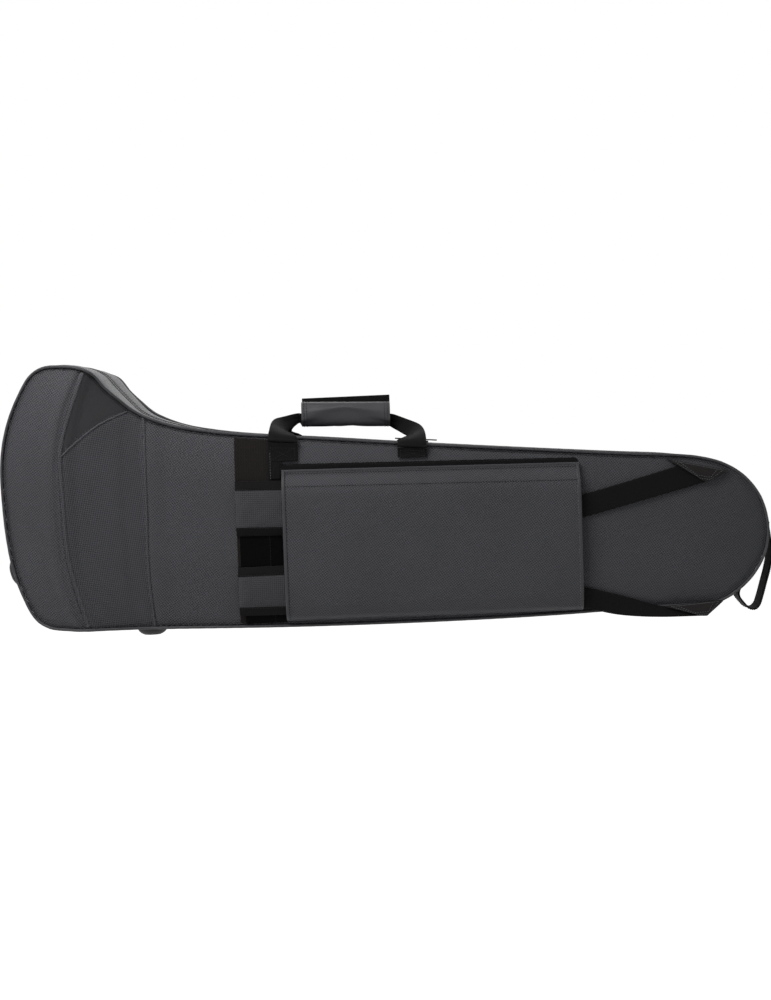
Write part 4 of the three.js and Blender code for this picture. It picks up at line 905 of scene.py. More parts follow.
def shell_piece(half, side):
    outer = plain_face.copy()
    outer[..., 1] += cloth_relief(plain_face, side)
    outer = turned(outer, side)
    shape = Shape()
    flat = plain_face[..., [0, 2]]
    faces = grid_faces(*outer.shape[:2])
    looks = panel_of(flat).reshape(-1)[faces].max(1)
    for look in range(3):
        shape.add(outer, faces[looks == look], flat, look)
    gusset = gusset_rows(ring_of(plain_face))
    inner_face = face_surface(FACE_US, FACE_VS, wall_line, WALL, FACE_WALL)
    edge = ring_of(inner_face)
    wall = [edge * (1, share, 1) + (0, RIM_GAP * (1 - share), 0) for share in (0.0, 0.35, 0.7, 1.0)]
    rim = np.stack([gusset[:, -1], wall[0]], 1)
    for look, columns in ((3, gusset), (4, rim), (5, np.stack(wall, 1))):
        shape.patch(turned(columns, side), None, look, wrap_columns=True)
    shape.patch(turned(inner_face, side), None, 5)
    cloths = [FABRIC, DART_CLOTH, FABRIC_TURNED, FABRIC_TURNED, BINDING, PLUSH]
    make(f"{half}_cover", shape, half, cloths, "shell_fabric", [f"{half}_shell"], sharp=50)


def ring_normals(ring):
    return flat_normals(ring[:, [0, 2]])


def panel_of(flat):
    """Which cloth each point lies on: 0 the body and the bell end, 1 the dart, 2 between the seams."""
    x, z = flat[..., 0], flat[..., 1]
    bell = np.interp(z, seam_bell[::-1, 1], seam_bell[::-1, 0])
    neck = np.interp(z, seam_neck[::-1, 1], seam_neck[::-1, 0])
    dart = np.interp(x, seam_dart[:, 0], seam_dart[:, 1])
    panel = np.zeros(x.shape, int)
    panel[(x > bell) & (x < neck)] = 2
    panel[(x > bell) & (z > dart) & (x < neck + 6)] = 1
    return panel


HALVES = (("base", -1), ("lid", 1))
# Section of a seam's ridge: [share of half its width, share of its height]
RIDGE = np.array([(-1.0, -0.6), (-0.8, 0.5), (-0.45, 0.95), (0, 1.0), (0.45, 0.95), (0.8, 0.5),
                  (1.0, -0.6), (0.0, -0.9)])
RIDGE_HEIGHT = 0.75
PIPING_SEAM, SEAM_SUNK = 3.0, -0.35
TOOTH_PITCH, TOOTH_LIFT, TOOTH_HALF, TOOTH_RISE = 1.7, 1.05, 0.42, 0.85
# Along a turn of the zip's coil: how far over the middle of the case, how fat
TOOTH_RUN = ((-0.55, 0.55), (-0.25, 0.95), (1.6, 1.0), (2.15, 0.7))
# Places round it
TOOTH_RING = ((1, 0), (0.6, 0.9), (-0.6, 0.9), (-1, 0), (-0.6, -0.8), (0.6, -0.8))
edge_ring = ring_of(plain_face)
for half, side in HALVES:
    shell_piece(half, side)


def seams(half, side):
    ridges, threads = Shape(), Shape()
    for line, width in ((seam_bell, 5.6), (seam_neck, 4.6), (seam_dart, 2.2)):
        at = on_face(line, SEAM_SUNK, side)
        swept(ridges, at, np.cross(frames_along(at), (0, 1, 0)), RIDGE * [width / 2, RIDGE_HEIGHT])
    make(f"{half}_seam_ridges", ridges, half, FABRIC_TURNED, "shell_fabric", sharp=60)
    for line, gap in ((seam_bell, 2.1), (seam_neck, 1.6)):
        ahead = frames_along(line)
        across = np.stack([ahead[:, 1], -ahead[:, 0]], 1)
        for way in (-1, 1):
            stitch_row(threads, on_face(line + across * gap * way, 0.3, side), out=(0, side, 0))
    sew(f"{half}_seam_stitches", threads, half, "shell_fabric")


def piping(half, side):
    reach = (PIPING_RADIUS + TOUCH) * math.sqrt(0.5)
    normals = ring_normals(edge_ring)
    line = edge_ring + upright(normals) * reach + (0, reach, 0)
    line = turned(resample_ring(line, 5.0), side)
    wobble = 1 + 0.03 * np.sin(np.arange(len(line)) * 1.9)
    cord = swept(Shape(), line, (0, 1, 0), round_section(PIPING_RADIUS, 12), closed=True, size=wobble)
    make(f"{half}_piping_cord", cord, half, PIPING_LOOK, "piping", [f"{half}_piping"], sharp=0)
    inner = edge_ring[:, [0, 2]] - normals * PIPING_SEAM
    inner = resample(np.concatenate([inner, inner[:1]]), STITCH_PITCH)
    threads = stitch_row(Shape(), on_face(inner, SEAM_SUNK, side), out=(0, side, 0), radius=0.32)
    sew(f"{half}_piping_stitches", threads, half, "piping")


def upright(flat):
    """Flat directions [x, z] as directions in space."""
    return np.stack([flat[:, 0], flat[:, 0] * 0, flat[:, 1]], 1)


def resample_ring(ring, step):
    return resample(np.concatenate([ring, ring[:1]]), step)[:-1]


HINGE_FROM, HINGE_TO, HINGE_THICK = share_x(0.13), share_x(0.87), 1.2


def rim_run(hinge):
    """The stretch of the edge that carries the cloth hinge, or the rest of it, with normals."""
    ring = resample_ring(wall_ring, 4.0)
    normals = ring_normals(ring)
    x, z = ring[:, 0], ring[:, 2]
    on = (z < 20) & (x > HINGE_FROM) & (x < HINGE_TO)
    wanted = on if hinge else ~on
    start = next(k for k in range(len(ring)) if wanted[k] and not wanted[k - 1])
    order = [(start + k) % len(ring) for k in range(int(wanted.sum()))]
    return ring[order], normals[order]


def tape(half, side):
    line, normals = rim_run(False)
    out = upright(normals)
    rows = np.array([(TAPE_WIDTH, 0.35), (TAPE_WIDTH - 0.6, 0.95), (10.0, 1.05), (4.5, 1.0),
                     (2.4, 1.0), (2.2, 0.35)])
    grid = line[:, None] * (1, 0, 1) + out[:, None] * rows[:, 1:] + rows[:, :1] * (0, 1, 0)
    shape = Shape().tube(turned(grid, side))
    make(f"{half}_zip_band", shape, half, ZIP_TAPE, "zip_tape", [f"{half}_zip_tape"])
    row = line * (1, 0, 1) + out + (0, TAPE_WIDTH - 2.2, 0)
    outs = resample(row, STITCH_PITCH, out)
    threads = stitch_row(Shape(), turned(row, side), out=outs, radius=0.3)
    sew(f"{half}_zip_stitches", threads, half, "zip_tape")
    teeth(half, side, line, out)


def teeth(half, side, line, outs):
    """The coil of one tape. Its turns lie between those of the other tape when the zip is shut."""
    length = running_length(line)
    at = np.arange(0.8 + (side > 0) * TOOTH_PITCH / 2, length[-1], TOOTH_PITCH)
    place, out = read_at(at, length, line), read_at(at, length, outs)
    ahead = np.cross(out, (0, 1, 0))
    rings = []
    for across, fat in TOOTH_RUN:
        centre = place + out * TOOTH_LIFT
        centre[:, 1] = across
        rings.append(np.stack([centre + ahead * TOOTH_HALF * fat * a + out * TOOTH_RISE * fat * b
                               for a, b in TOOTH_RING], 1))
    shape = Shape().tubes(turned(np.stack(rings, 1), side))
    make(f"{half}_zip_teeth", shape, half, COIL, "zip_tape", sharp=35)


def hinge_cloth():
    """One band of webbing across the bottom where the lid turns; it rides on neither half and stays where
    it lies.
    """
    line, normals = rim_run(True)
    across = np.linspace(-1, 1, 17)[:, None] * (0, TAPE_WIDTH, 0)
    lifts = TOUCH + HINGE_THICK, TOUCH
    shape = plate(Shape(), *(
        (line * (1, 0, 1) + upright(normals) * lift)[:, None] + across for lift in lifts
    ))
    piece = make("hinge_cloth", shape, "base", *BLACK_WEB, sharp=50)
    piece.parent = None
    del piece["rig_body"]
    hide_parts("base_hinge_tape", "lid_hinge_tape")
    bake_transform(piece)


for half, side in HALVES:
    seams(half, side)
    piping(half, side)
    tape(half, side)
hinge_cloth()

# Feet

FOOT_RADIUS, FOOT_INSET, FOOT_SIDES = 18.5, 4.0, 64
HEEL_INSET, HEEL_DEPTH, HEEL_SHARE = 8.0, 9.5, 0.255
# From the middle of its flat to the wall: share of its radius, share of its height
FOOT_PROFILE = [(0.0, 0.0), (0.5, 0.0), (0.56, 0.01), (0.6, 0.05), (0.74, 0.19),
                (0.86, 0.4), (0.945, 0.66), (0.985, 0.86), (1.0, 0.96), (0.985, 1.0)]


def foot(name, body, centre, out, height, rise_at):
    """Rubber foot: a low dome with a sunk ring round its flat, seated on the wall behind it."""
    out = np.asarray(out, float)
    first = np.cross(out, (0, 1, 0))
    second = np.cross(out, first)

    def place(turn, profile):
        reach, drop = profile
        flat = centre + (first * math.cos(turn) + second * math.sin(turn)) * reach * FOOT_RADIUS
        return flat + out * (height * (1 - drop)) + (0, 0, rise_at(flat[0]) * drop)

    grid = grid_of(place, np.arange(FOOT_SIDES) * 2 * math.pi / FOOT_SIDES, FOOT_PROFILE)
    shape = Shape().patch(grid, wrap_columns=True).cap(grid[:, -1])
    make(name, shape, body, RUBBER, "foot_rubber", [name], sharp=45)


def bottom_foot(half, side, end, x):
    height = wall_line.low(x) - TOUCH
    centre = np.array([x, side * (edge_depth(x) - FOOT_RADIUS - FOOT_INSET), height])
    foot(f"{half}_foot_{end}", half, centre, (0, 0, -1), height,
         lambda x: wall_line.low(x) - TOUCH - height)


for half, side in HALVES:
    bottom_foot(half, side, "bell", share_x(0.183))
    bottom_foot(half, side, "slide", share_x(0.828))


def heel_foot(half, side):
    height = BELL_HEIGHT * HEEL_SHARE
    wall, above, below = wall_line.bell_end(height + np.array([0, 0.5, -0.5]) * FOOT_RADIUS)
    lean = math.atan2(below[0] - above[0], above[1] - below[1])
    out = np.array([-math.cos(lean), 0, -math.sin(lean)])
    centre = np.array([wall[0], side * (DEPTHS[0] - FOOT_RADIUS - HEEL_INSET), wall[1]]) + out * TOUCH
    foot(f"{half}_foot_heel", half, centre, out, HEEL_DEPTH, lambda x: 0.0)


for half, side in HALVES:
    heel_foot(half, side)

# Strap side

PANEL_X = share_x(0.3018)
PANEL_WIDTH = 54.0
PANEL_THICK = 1.5
PANEL_MARGIN = 3.0
PANEL_SEAMS = (3.0, 36.0, 38.2, PANEL_WIDTH - 3.0)
FLAP_X = PANEL_X + PANEL_WIDTH + 1.4
FLAP_WIDTH, FLAP_HEIGHT, FLAP_FOOT = 355.5, 180.0, 12.0
FLAP_THICK, FLAP_STANDOFF = 2.5, 12.0
FLAP_TOP = FLAP_FOOT + FLAP_HEIGHT
FLAP_BINDING = 2.2
# Rows of stitches along the flap: share of its height at each end, radius of the thread
FLAP_SEAMS = ((0.974, 0.974, 0.42), (0.890, 0.884, 0.55))
HOOK_HEIGHT, HOOK_COVERED, HOOK_THICK, HOOK_CORNER = 20.0, 9.5, 1.5, 6.0
HOOK_TOP = FLAP_TOP + HOOK_HEIGHT - HOOK_COVERED
HOOK_BOTTOM = HOOK_TOP - HOOK_HEIGHT
HOOK_REST = CLOTH_GAP + HOOK_THICK
LOOP_REST, LOOP_THICK = HOOK_REST + TOUCH, 1.0
# Upper edges of the strip and of the flap, at the bell end and at the slide end
HOOK_SHOWN = 199.8, 195.8
FLAP_SHOWN = 193.0, 190.2
PAD_INNER = 2 * CLOTH_GAP + PANEL_THICK


def face_sheet(shape, place, columns, rows, thick, side=-1):
    """Cloth laid over the face: place(u, v) gives [x, z, lift of its inner side]."""
    spots = grid_of(place, steps(columns), steps(rows))
    inner = on_face(spots[..., :2], spots[..., 2], side)
    return plate(shape, inner + (0, side * thick, 0), inner)


def strap_panel():
    def place(u, v):
        x = PANEL_X + u * PANEL_WIDTH
        low, high = face_line.low(x) + PANEL_MARGIN, face_line.high(x) - PANEL_MARGIN
        ripple = 0.25 * math.sin(v * 23 + u * 5)
        return x, low + (high - low) * v, CLOTH_GAP + ripple * math.sin(math.pi * u)

    shape, threads = face_sheet(Shape(), place, 14, 80, PANEL_THICK), Shape()
    make("strap_panel_webbing", shape, "base", PANEL_WEBBING, "panel_webbing", ["strap_panel"],
         bevel=0.5)
    for across in PANEL_SEAMS:
        x = PANEL_X + across
        line = resample([(x, 14.0), (x, face_line.high(x) - 2 * PANEL_MARGIN)], STITCH_PITCH)
        stitch_row(threads, on_face(line, CLOTH_GAP + PANEL_THICK + THREAD_LIFT), radius=FINE_RADIUS)
    sew("strap_panel_stitches", threads, "base", "panel_webbing")


def strap_folds():
    """Black webbing folded flat on the panel, between the pads and below the lower one; its colour is
    darker than the other webbing, as painted shade of those recesses.
    """
    shape, threads = Shape(), Shape()
    rest = CLOTH_GAP + PANEL_THICK
    for left, low, high in FOLDS:

        def place(u, v):
            fold = 0.5 * math.exp(-(((u - FOLD_CREASE) / 0.05) ** 2))
            return left + u * FOLD_WIDTH, low + (high - low) * v, rest + fold

        face_sheet(shape, place, 24, 8, FOLD_THICK)
        x = left + FOLD_CREASE * FOLD_WIDTH
        line = resample([(x, low + 1.5), (x, high - 1.5)], STITCH_PITCH)
        stitch_row(threads, on_face(line, rest + FOLD_THICK + 0.6), radius=0.3)
    make("strap_folds", shape, "base", FOLD_WEBBING_SHADED, "webbing", bevel=0.3, sharp=50)
    sew("strap_fold_stitches", threads, "base", "webbing")


PAD_LENGTH, PAD_WIDTH, PAD_THICK, PAD_BINDING = 306.0, 65.0, 8.0, 5.3
# Black webbing folded on the panel: left edge, lower edge, upper edge
FOLDS = [(PANEL_X + 3.5, 79.5, 115.5), (PANEL_X + 6.5, 10.5, 20.5)]
FOLD_WIDTH, FOLD_THICK, FOLD_CREASE = 49.5, 1.1, 0.72
PAD_NECK, PAD_NECK_LENGTH = 30.0, 34.0
# Middle lines of the pads: share of their length, share of the flap's height
UPPER_PAD = [(0, 0.758), (0.35, 0.75), (0.7, 0.667), (1, 0.578)]
LOWER_PAD = [(0, 0.209), (0.35, 0.212), (0.75, 0.224), (1, 0.194)]
LOWER_DRAWN_IN = 7.0


def pad_centre(shares, u):
    k = max(1, next(i for i, (at, _) in enumerate(shares) if at >= u))
    (first, low), (last, high) = shares[k - 1], shares[k]
    t = (u - first) / (last - first)
    return FLAP_FOOT + FLAP_HEIGHT * (low + (high - low) * t * t * (3 - 2 * t))


def pad_width(shares, u):
    taper = min(1.0, (1 - u) * PAD_LENGTH / PAD_NECK_LENGTH)
    wide = PAD_WIDTH - (LOWER_DRAWN_IN * (1 - u) if shares is LOWER_PAD else 0)
    return PAD_NECK + (wide - PAD_NECK) * math.sin(taper * math.pi / 2)


def pad_spot(shares, u, v, lift):
    across = v - 0.5
    end = min(1.0, u / 0.03, (1 - u) / 0.03)
    end = 0.4 + 0.6 * math.sin(end * math.pi / 2)
    crown = max(0.0, 1 - abs(2 * across) ** 3.2) * end
    x = PANEL_X + u * PAD_LENGTH
    z = pad_centre(shares, u) + across * pad_width(shares, u)
    return x, z, PAD_INNER + PAD_THICK * (0.3 + 0.7 * crown) * lift


def shoulder_pad(name, shares):
    along, across = steps(90), steps(28)
    grids = []
    for lift in (1.0, 0.0):
        spots = grid_of(lambda u, v: pad_spot(shares, u, v, lift), along, across)
        quilt = 0.35 * np.sin(spots[..., 0] / 5.2) * np.sin(spots[..., 1] / 4.1)
        spots[..., 2] += lift * quilt * (np.abs(across - 0.5) < 0.3)
        grids.append(on_face(spots[..., :2], spots[..., 2]))
    shape = plate(Shape(), *grids)
    piece = make(name, shape, "base", PAD_MESH, "pad_fabric", [name], bevel=1.2, sharp=50)
    binding, threads = Shape(), Shape()
    rows = np.array([-1.0, -0.85, 0.0, 0.85, 1.0])
    for way in (-1, 1):

        def place(u, reach):
            """A place of the binding, this many times its width in from the pad's edge."""
            v = 0.5 + way * (0.5 - reach * PAD_BINDING / pad_width(shares, u))
            return pad_spot(shares, u, min(1, max(0, v)), 1.0)

        spots = grid_of(place, along, 1 - rows)
        lifts = spots[..., 2] + 0.75 - 0.25 * np.abs(rows), spots[..., 2] - 0.3
        plate(binding, *(on_face(spots[..., :2], lift) for lift in lifts))
        row = resample(np.array([place(u, 1.75) for u in along]), STITCH_PITCH)
        stitch_row(threads, on_face(row[:, :2], row[:, 2] + 0.75), radius=FINE_RADIUS)
    make(f"{name}_binding", binding, "base", *BLACK_WEB, bevel=0.4, sharp=50)
    sew(f"{name}_stitches", threads, "base", "webbing")


STRAP_WIDTH, STRAP_THICK = 26.0, 1.5
STRAP_START = PANEL_X + PAD_LENGTH + TOUCH + 24.0 + TOUCH
PIPING_REACH = 2 * PIPING_ROOM + TOUCH
# Upper and lower edge of the lower strap past its adjuster, [share of its reach, share of the
# bell's height] each, and how far its lower edge leans out, as a share of its width
LOWER_STRAP = [
    (0.132, 0.1326, 0.132, 0.0499, 0), (0.310, 0.1092, 0.310, 0.0312, 0),
    (0.358, 0.1014, 0.365, 0.0209, 0), (0.460, 0.0811, 0.478, 0.0003, 0.077),
    (0.562, 0.0577, 0.591, -0.0097, 0.192), (0.653, 0.0335, 0.708, -0.0140, 0.269),
    (0.748, 0.0190, 0.820, -0.0140, 0.308), (0.860, 0.0130, 0.905, -0.0140, 0.308),
]


def strap_lift(x, z):
    """Depth of a strap's outer side, on the face or over the piping at its lower edge."""
    edge = face_line.low(x)
    face = depth_at(x, max(z, edge + PIPING_ROOM)) + PAD_INNER + STRAP_THICK
    over = edge_depth(x) + PIPING_REACH + STRAP_THICK
    return max(face, over) if z < edge + STRAP_WIDTH else face


def strap_band(name, places, wave=0.5):
    """Webbing laid in front of the face through its upper and lower edge places."""
    upper = np.array([(u[0], -strap_lift(*u), u[1]) for u, _, _ in places])
    lower = np.array([(l[0], -strap_lift(*l) - lean, l[1]) for _, l, lean in places])
    upper, lower = smooth_run(upper, 8), smooth_run(lower, 8)
    centre, half = (upper + lower) / 2, (upper - lower) / 2
    run = steps(len(centre) - 1)
    centre[:, 1] -= wave * np.sin(11 * run) * np.sin(math.pi * run)
    shape = ribbon(Shape(), centre, half, STRAP_THICK, STRAP_WIDTH / 2)
    make(name, shape, "base", *BLACK_WEB, [name], sharp=60)


def spot(pair):
    return share_x(pair[0]), share_z(pair[1])


def strap_start(shares):
    """Upper and lower edge of a strap where it leaves its adjuster."""
    middle = pad_centre(shares, 1.0)
    return tuple((STRAP_START, middle + way * STRAP_WIDTH / 2) for way in (1, -1))


def straps():
    first, last = strap_start(UPPER_PAD), (spot((0.885, 0.5513)), spot((0.917, 0.4852)))
    strap_band("strap_upper", [
        (mixed(first[0], last[0], t), mixed(first[1], last[1], t), 0.0) for t in steps(12)
    ])
    reach = share_x(0.938) - STRAP_START
    places = [(*strap_start(LOWER_PAD), 0.0)]
    for ua, uz, la, lz, lean in LOWER_STRAP:
        places.append(((STRAP_START + reach * ua, share_z(uz)), (STRAP_START + reach * la, share_z(lz)),
                       lean * STRAP_WIDTH))
    strap_band("strap_lower", places, 0.3)


# Corners of the tabs: left, right, tip
UPPER_TAB = [(0.8675, 0.5772), (0.949, 0.5257), (0.918, 0.4883)]
LOWER_TAB = [(0.859, 0.0234), (0.938, 0.0406), (0.910, -0.0134)]
TAB_THICK = 2.0


def anchor_tab(name, corners, hanging):
    left, right, apex = (spot(c) for c in corners)

    def lifted(x, z, v):
        over = min(1.0, v * 8)
        over = over * over * (3 - 2 * over)
        if hanging:
            return edge_depth(x) + PIPING_REACH + TOUCH + 2 * STRAP_THICK * over + 0.365 * STRAP_WIDTH * v
        return depth_at(x, z) + CLOTH_GAP + (PAD_INNER + STRAP_THICK * 1.5) * over

    def at(u, v, lift):
        point = (apex[0] + (u - 0.5) * 5.0, apex[1])
        x, z = mixed(mixed(left, right, u), point, v)
        return x, -(lifted(x, z, v) + lift), z

    shape, threads = Shape(), Shape()
    share = steps(24)
    plate(shape, *(grid_of(lambda u, v: at(u, v, lift), share, share) for lift in (TAB_THICK, 0.0)))
    make(f"{name}_webbing", shape, "base", TAB_WEBBING, "panel_webbing", [name], bevel=0.5, sharp=50)
    for inset in (0.09, 0.2):
        a, b, foot_v, top_v = inset * 0.9, 1 - inset * 0.9, 0.07, 1 - inset * 1.5
        run = [(a, foot_v), (a, top_v), (b, top_v), (b, foot_v), (a, foot_v)]
        line = np.concatenate(traced(lambda u, v: at(u, v, TAB_THICK + THREAD_LIFT), run, 16))
        stitch_row(threads, line, pitch=2.9, length=2.1)
    sew(f"{name}_stitches", threads, "base", "panel_webbing", THREAD_LIGHT)


# How far the flap stands off, by its height
FLAP_BULGE = np.array([
    (0, 0.04), (0.012, 0.45), (0.03, 0.75), (0.06, 0.86), (0.1, 1), (0.16, 1), (0.26, 1.01),
    (0.38, 1.02), (0.5, 1.03), (0.62, 1.02), (0.74, 1.01), (0.84, 1), (0.9, 0.84),
    (0.925, 0.68), (0.942, 0.52), (0.958, 0.36), (1, 0.34),
])


def flap_height(u, v):
    """Height of a place on the flap, whose upper edge drops a little towards the slide end."""
    top = FLAP_SHOWN[0] + (FLAP_SHOWN[1] - FLAP_SHOWN[0]) * u
    return FLAP_FOOT + v * (top - FLAP_FOOT)


def flap_lift(u, v):
    """How far the flap's inner side stands off the face."""
    lift = np.interp(v, FLAP_BULGE[:, 0], FLAP_BULGE[:, 1]) * FLAP_STANDOFF
    if flap_height(u, v) > HOOK_BOTTOM:
        lift = max(lift, LOOP_REST + LOOP_THICK + TOUCH)
    soft = math.sin(math.pi * u) * math.sin(math.pi * v)
    return lift + soft * 0.7 * math.sin(u * 7.0 + 1.0) * math.sin(v * 5.0)


def flap_spot(u, v, lift):
    x = FLAP_X + u * FLAP_WIDTH
    z = flap_height(u, v)
    if v == 0:
        ends = [depth_at(end, FLAP_FOOT) for end in (FLAP_X, FLAP_X + FLAP_WIDTH)]
        depth = ends[0] + (ends[1] - ends[0]) * u + 2 * CLOTH_GAP
    else:
        depth = depth_at(x, z) + flap_lift(u, v)
    return x, -(depth + lift), z


FLAP_ROWS = np.unique(np.concatenate([
    np.linspace(0, 0.12, 16), np.linspace(0.12, 0.86, 44), np.linspace(0.86, 1, 22),
]))


def flap_line(u0, v0, u1, v1, lift):
    return traced(lambda u, v: flap_spot(u, v, FLAP_THICK + lift), [(u0, v0), (u1, v1)], 80)[0]


def cover_flap():
    outer, inner = (grid_of(lambda u, v: flap_spot(u, v, lift), steps(90), FLAP_ROWS)
                    for lift in (FLAP_THICK, 0.0))
    depth = outer[..., 1]
    depth[:, 1:-1] = (depth[:, :-2] + 2 * depth[:, 1:-1] + depth[:, 2:]) / 4
    shape = plate(Shape(), outer, inner)
    make("cover_flap_cloth", shape, "strap_cover", FABRIC, "shell_fabric", ["cover_flap"],
         bevel=0.8, sharp=50)
    binding, threads, light = Shape(), Shape(), Shape()
    for u, way, row in ((0.0, 1, threads), (1.0, -1, light)):
        inset = way * FLAP_BINDING / FLAP_WIDTH
        line = flap_line(u + inset, 0.015, u + inset, 0.985, 0.25)
        swept(binding, line, (1, 0, 0), rounded_band(1.7, 1.0, 4))
        line = flap_line(u + inset * 1.9, 0.015, u + inset * 1.9, 0.985, 0.2)
        stitch_row(row, line, pitch=3.6, length=2.5, radius=0.5)
    swept(binding, flap_line(0.012, 0.991, 0.988, 0.991, 0.2), (0, 0, 1), rounded_band(1.3, 0.8, 4))
    for left, right, radius in FLAP_SEAMS:
        stitch_row(threads, flap_line(0.012, left, 0.988, right, 0.05), radius=radius)
    make("cover_flap_binding", binding, "strap_cover", PIPING_LOOK, "shell_fabric", sharp=60)
    sew("cover_flap_stitches", threads, "strap_cover", "shell_fabric")
    sew("cover_flap_edge_stitches", light, "strap_cover", "shell_fabric", THREAD_LIGHT)
    heights = np.linspace(HOOK_BOTTOM + 0.2, HOOK_BOTTOM + 7.5, 5)
    places = np.linspace(FLAP_X + 4, FLAP_X + FLAP_WIDTH - 4, 60)
    spots = grid_of(lambda x, z: (x, z), places, heights)
    strip = plate(Shape(), on_face(spots, LOOP_REST + LOOP_THICK), on_face(spots, LOOP_REST))
    make("loop_strip_pile", strip, "strap_cover", HOOK, "hook_and_loop", ["loop_strip"],
         bevel=0.3, sharp=50)


def hook_strip():
    xs = np.linspace(FLAP_X, FLAP_X + FLAP_WIDTH, 180)
    tops = np.interp(xs, (xs[0], xs[-1]), HOOK_SHOWN)
    rounded = np.clip(1 - (xs[-1] - xs) / HOOK_CORNER, 0, 1)
    tops -= HOOK_CORNER * (1 - np.sqrt(1 - rounded**2)) + 0.3 * np.sin(xs * 1.9) * np.sin(xs * 0.83)
    spots = grid_of(lambda at, v: (at[0], HOOK_BOTTOM + (at[1] - HOOK_BOTTOM) * v), zip(xs, tops), steps(8))
    rough = 0.2 * np.sin(spots[..., 0] * 1.7) * np.sin(spots[..., 1] * 2.3)
    strip = plate(Shape(), on_face(spots, HOOK_REST + rough), on_face(spots, CLOTH_GAP))
    make("hook_strip_pile", strip, "base", HOOK, "hook_and_loop", ["hook_strip"], bevel=0.4, sharp=50)
    line = np.stack([xs[2:-8], tops[2:-8] - 1.8], 1)
    threads = stitch_row(Shape(), on_face(line, HOOK_REST), radius=FINE_RADIUS)
    sew("hook_strip_stitches", threads, "base", "hook_and_loop")


strap_panel()
strap_folds()
shoulder_pad("shoulder_pad_upper", UPPER_PAD)
shoulder_pad("shoulder_pad_lower", LOWER_PAD)
straps()
anchor_tab("anchor_tab_upper", UPPER_TAB, False)
anchor_tab("anchor_tab_lower", LOWER_TAB, True)
hook_strip()
cover_flap()

# Carry handle

WEB_WIDTH, WEB_THICK = 35.0, 2.0
HANDLE_STANDOFF = 14.0
HEM_RADIUS = 2.0
GRIP_LENGTH, GRIP_HEIGHT, GRIP_THICK = 108.5, 27.2, 25.0
BELL_LEG, SLIDE_LEG = share_x(0.3663) - 1.2, share_x(0.5385) - 4.4
GRIP_X, GRIP_RISE, GRIP_SLOPE, GRIP_ROUND = -51.2, 32.2, 0.029, 0.62
TONGUE_HEIGHT, TONGUE_SHOWN, TONGUE_THICK = 30.0, 9.2, 1.5
LEG_FOOT, LEG_CLEAR = 182.5, 0.7
# The stitched box on a leg, as shares of its width and height, and its stitches
BOX_CORNERS = [(0.1, 0.08), (0.9, 0.08), (0.9, 0.72), (0.1, 0.72), (0.1, 0.08), (0.9, 0.72)]
BOX_STITCH = {"pitch": FINE_PITCH, "length": FINE_LENGTH, "radius": FINE_RADIUS}


GRIP_Z = wall_line.high(GRIP_X) + GRIP_RISE


def grip_z(x):
    return GRIP_Z - GRIP_SLOPE * (x - GRIP_X)


def hem_place(x):
    z = wall_line.high(x) - HEM_RADIUS
    return np.array([x, depth_at(x, z - TOUCH) + PIPING_REACH + HEM_RADIUS, z])


HEM_LINE = hem_place(SLIDE_LEG) - hem_place(BELL_LEG)
HEM_SLOPE = HEM_LINE[2] / HEM_LINE[0]
HEM_LEAN = -HEM_LINE[1] / HEM_LINE[0]


def sewn_leg(half, side, end, x):
    hem = hem_place(x)
    top = hem[2] - HEM_RADIUS - LEG_CLEAR
    low = HOOK_TOP + CLOTH_GAP
    rest = CLOTH_GAP + PANEL_THICK + TOUCH if side < 0 else CLOTH_GAP
    lift = hem[1] - depth_at(x, top) - rest - WEB_THICK / 2

    def at(u, v):
        along = (u - 0.5) * WEB_WIDTH
        z = low + (top - low) * v + (wall_line.high(x + along) - wall_line.high(x)) * v
        return x + along, z, rest + lift * v**3

    def tail(u, v):
        """Where the webbing runs on down to the upper pad."""
        return left + (FLAP_X - 1.4 - left) * u, LEG_FOOT + (low - LEG_FOOT) * v, rest

    shape, threads = face_sheet(Shape(), at, 12, 14, WEB_THICK, side), Shape()
    left = x - WEB_WIDTH / 2
    if side < 0 and end == "bell":
        face_sheet(shape, tail, 6, 10, WEB_THICK)
        edge = resample([(left + 2.2, LEG_FOOT + 1), (left + 2.2, top - 6)], STITCH_PITCH)
        light = stitch_row(Shape(), on_face(edge, rest + WEB_THICK + 0.15), radius=FINE_RADIUS)
        sew("base_handle_leg_edge_stitches", light, half, "webbing", THREAD_LIGHT)
    name = f"{half}_handle_leg_{end}"
    make(f"{name}_webbing", shape, half, *BLACK_WEB, [name], bevel=0.6, sharp=50)
    for line in traced(at, BOX_CORNERS, 12) + traced(at, BOX_CORNERS[3::-2], 12):
        row = resample(line, FINE_PITCH)
        row = on_face(row[:, :2], row[:, 2] + WEB_THICK + THREAD_LIFT, side)
        stitch_row(threads, row, out=(0, side, 0), **BOX_STITCH)
    sew(f"{name}_stitches", threads, half, "webbing")


# Outer and inner edge of a loop at stations from the hem to the grip: how far inward of its leg,
# y, rise over the top of the case; then how far it is folded in two
BELL_RUN = [
    ((-17.2, -86.5, 3.4), (17.2, -85.5, 1.2), 0.0), ((-16.2, -80.0, 9.6), (13.6, -76.0, 4.2), 0.0),
    ((-13.1, -40.0, 23.0), (4.3, -50.0, 8.2), 0.2), ((-1.9, -22.0, 26.8), (9.1, -26.0, 14.6), 0.6),
    ((19.1, -14.0, 30.6), (18.4, -14.0, 18.8), 1.0),
]
SLIDE_RUN = [
    ((-17.2, -81.6, 1.6), (17.2, -80.8, 3.6), 0.0), ((-17.0, -72.0, 10.4), (9.5, -70.0, 7.0), 0.0),
    ((-13.0, -36.0, 21.6), (4.0, -50.0, 9.6), 0.2), ((-1.0, -20.0, 28.4), (12.0, -24.0, 14.4), 0.6),
    ((24.2, -14.0, 38.0), (25.9, -14.0, 23.8), 1.0),
]
BAND_HALF = 6.0
